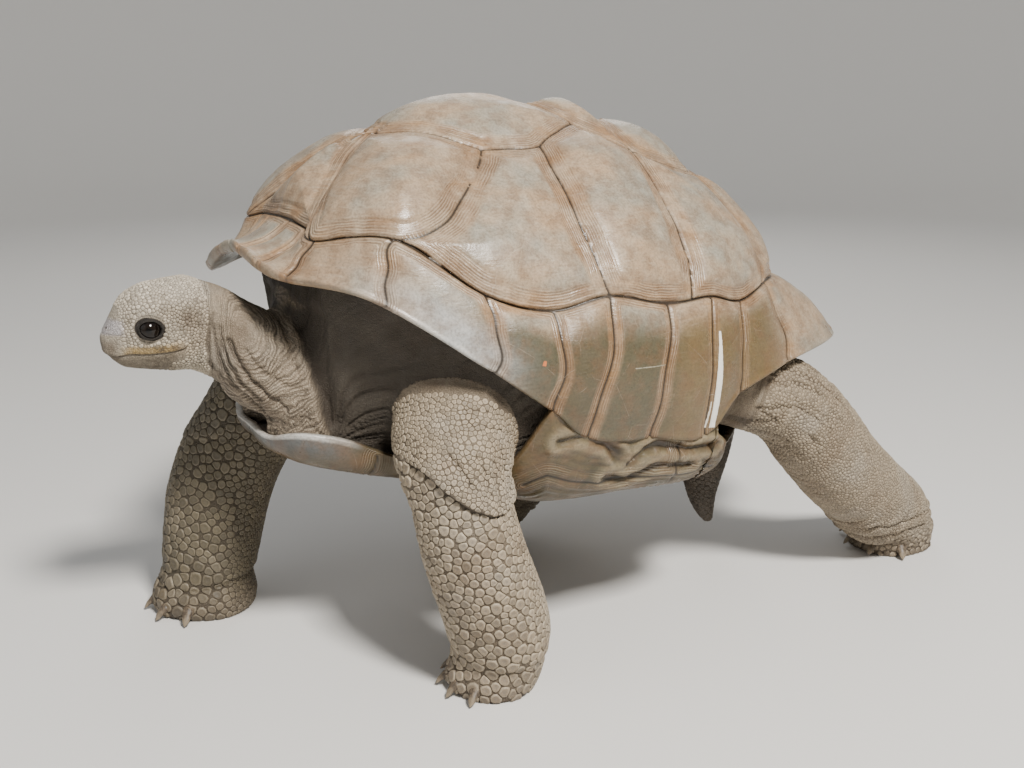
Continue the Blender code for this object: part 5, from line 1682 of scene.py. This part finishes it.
def make_scales(skin, moved, best, names, tubes, tints):
    """All the scales, one mesh for each leg, the tail and the head."""
    mesh = skin.data
    mesh.calc_loop_triangles()
    tris = np.empty(len(mesh.loop_triangles) * 3, np.int32)
    mesh.loop_triangles.foreach_get("vertices", tris)
    tris = tris.reshape(-1, 3)
    normals = np.empty(len(moved) * 3)
    mesh.vertex_normals.foreach_get("vector", normals)
    soft = unit(relaxed(normals.reshape(-1, 3), edges_of(mesh), 6))
    rng = np.random.default_rng(11)
    made = []
    # Each part with its scales' radius, kind and height.
    jobs = [(name, leg_radius(name, tubes[name]), *(("plate", 0.00145) if name.startswith("leg_f")
                                                    else ("grain", 0.0008))) for name in LEGS]
    jobs += [("tail", lambda spots: np.where(spots[:, 2] < 0.36, 0.0042, 0.0), "plate", 0.0011),
             ("head", head_radius, "bead", 0.00075)]
    for name, radius_of, kind, tall in jobs:
        own = best == names.index(name)
        chosen = tris[own[tris].all(axis=1)]
        tree = BVHTree.FromPolygons(moved.tolist(), chosen.tolist())
        spots, radii = scale_seeds(moved, chosen, radius_of, rng)
        hits = [tree.find_nearest(spot) for spot in spots]
        corner = chosen[[hit[2] for hit in hits]]
        ways = unit(soft[corner].mean(axis=1))
        root_tints = tints[corner].mean(axis=1)
        chance = random_of(np.arange(len(spots)), 9)
        spread = 0.80 if name == "head" else 0.60
        root_tints = root_tints * (1.04 + spread * (chance - 0.5))[:, None]
        roots = unwrapped(name, spots, tubes.get(name))
        made.append(scale_mesh(f"scales_{name}", spots, radii, ways, tree, tall, kind, root_tints, roots))
    return made


def scale_look():
    look = Look("scale_horn", 0.6)
    tint, rim = look.attribute("tint", "Color"), look.attribute("rim")
    fine, dust = look.noise(500.0, 4.0), look.noise(40.0, 4.0)
    light = look.span(look.attribute("tint"), 0.08, 0.22, 0.30, 1.0)
    worn = look.times(look.span(rim, 0.55, 0.90, 0.0, 0.50), light)
    base = look.mix(worn, tint, colour(186, 174, 152))
    middle = look.times(look.span(rim, 0.50, 0.10, 0.0, 0.45), light)
    base = look.mix(middle, base, colour(112, 107, 100))
    base = look.mix(look.span(rim, 0.93, 1.0, 0.0, 0.90), base, DEEP_TONE)
    base = look.mix(look.span(fine, 0.62, 0.35, 0.0, 0.25), base, DEEP_TONE)
    rough = look.span(dust, 0.3, 0.7, 0.45, 0.70)
    height = look.plus(fine, look.times(look.noise(160.0, 3.0), 0.8))
    return look.finish(base, rough, height, 0.0006, 0.7)


# The eyeball's radius, how far its cornea stands out, and how far the eye turns forwards, in degrees.
EYEBALL, CORNEA, EYE_TURN = 0.0172, 0.0006, 14.0


def make_eyes():
    """Dark wet eyeballs with a brown iris and a black pupil."""
    look = Look("eye_wet", 0.06)
    look.shader.inputs["Specular IOR Level"].default_value = 0.28
    look.shader.inputs["Coat Weight"].default_value = 0.12
    look.shader.inputs["Coat Roughness"].default_value = 0.02
    out = look.attribute("out")
    fibre = look.noise(900.0, 3.0)
    iris = look.mix(look.span(fibre, 0.3, 0.7), colour(28, 20, 14), colour(14, 10, 8))
    base = look.mix(look.span(out, 0.0042, 0.0050), colour(6, 5, 5), iris)
    base = look.mix(look.span(out, 0.0098, 0.0112), base, colour(16, 12, 10))
    wet = look.finish(base)
    columns, rows = 48, 33
    for name, side in (("eyeball_l", 1.0), ("eyeball_r", -1.0)):
        around = turns(columns)
        turn = np.linspace(0.02, np.pi - 0.02, rows)[:, None]
        bulge = EYEBALL + CORNEA * bell(turn, 0.42)
        ring = np.stack([np.cos(turn) * bulge * np.ones(columns), np.sin(turn) * np.cos(around) * bulge,
                         np.sin(turn) * np.sin(around) * bulge], axis=-1)
        ring[..., 0] *= side
        look_way = np.radians(EYE_TURN) * side
        x = ring[..., 0] * np.cos(look_way) + ring[..., 1] * np.sin(look_way)
        y = -ring[..., 0] * np.sin(look_way) + ring[..., 1] * np.cos(look_way)
        place = np.stack([x, y, ring[..., 2]], axis=-1) + EYE * np.array([side, 1.0, 1.0])
        points, tris = capped(place)
        # How far each point is from the pupil's middle; the last two are the caps' middles.
        off_pupil = np.concatenate([(np.sin(turn) * bulge * np.ones(columns)).ravel(), [0.0], [0.02]])
        made = mesh_object(name, points, tris, {"out": off_pupil})
        tidy(made)
        add_piece(made, wet, "eye", "eye_l" if side > 0 else "eye_r")


def claw_look():
    look = Look("claw_horn", 0.4)
    along = look.attribute("along")
    grain = look.noise(300.0, 4.0, (1.0, 1.0, 0.4))
    base = look.mix(look.span(grain, 0.35, 0.70), colour(64, 55, 46), colour(112, 98, 80))
    base = look.mix(look.span(along, 0.62, 1.0, 0.0, 0.60), base, colour(152, 138, 116))
    base = look.mix(look.span(along, 0.18, 0.0, 0.0, 0.70), base, DEEP_TONE)
    return look.finish(base, look.span(grain, 0.3, 0.7, 0.35, 0.60), grain, 0.0008, 0.7)


def make_claws(look):
    """Blunt curved claws round the front of each foot, one mesh for each foot."""
    rings, sides = 22, 20
    for leg, (number, _, length, half_width) in CLAWS.items():
        foot, radius, ways = claw_sites(leg)
        all_points, all_faces, all_along, start = [], [], [], 0
        for index, out in enumerate(ways):
            across, up = np.array([-out[1], out[0], 0.0]), np.array([0.0, 0.0, 1.0])
            angles = turns(sides)
            grid, along = [], []
            for share in np.linspace(0, 1, rings):
                thick = half_width * (1.0 - 0.72 * share ** 1.6)
                thick *= np.sqrt(1 - max(0.0, share - 0.86) / 0.145 * 0.98)
                thick *= 1.02 + 0.05 * np.sin(share * 21 + index)
                tall = thick * 0.80
                drop = (half_width * 1.25 + 0.006) * (1.0 - share ** 2) + half_width * 0.22 * 0.8 + 0.003
                drop = max(drop, tall + 0.0005)
                middle = foot + out * (radius - 0.010 + share * length) + up * drop
                keel = 1.0 + 0.12 * np.maximum(np.sin(angles), 0) ** 4
                grid.append(middle + np.outer(np.cos(angles) * thick, across)
                            + np.outer(np.sin(angles) * tall * keel, up))
                along.append(np.full(sides, share))
            points, tris = capped(np.stack(grid))
            all_points.append(points)
            all_faces.append(tris + start)
            all_along.append(np.concatenate([*along, [0.0], [1.0]]))
            start += len(points)
        made = mesh_object(f"claws_{leg}", np.concatenate(all_points), np.concatenate(all_faces),
                           {"along": np.concatenate(all_along)})
        tidy(made)
        add_piece(made, look, "claw", *[f"claw_{leg}_{k + 1}" for k in range(number)])


make_camera()
make_stage()
horn = shell_look()
add_piece(carapace(), horn, "shell", "carapace")
add_piece(plastron(), horn, "underside", "plastron")
hide_look = skin_look()
skin, skin_points, skin_part, part_names, tubes, bare_points = make_skin()
add_piece(skin, hide_look, "skin", "trunk", "neck", "head", "jaw", "tail", *LEGS)
plain_tints = markings_and_painted_shade(bare_points, skin_part, part_names)
scales_look = scale_look()
for coat in make_scales(skin, skin_points, skin_part, part_names, tubes, plain_tints):
    add_piece(coat, scales_look, "skin")
make_eyes()
make_claws(claw_look())
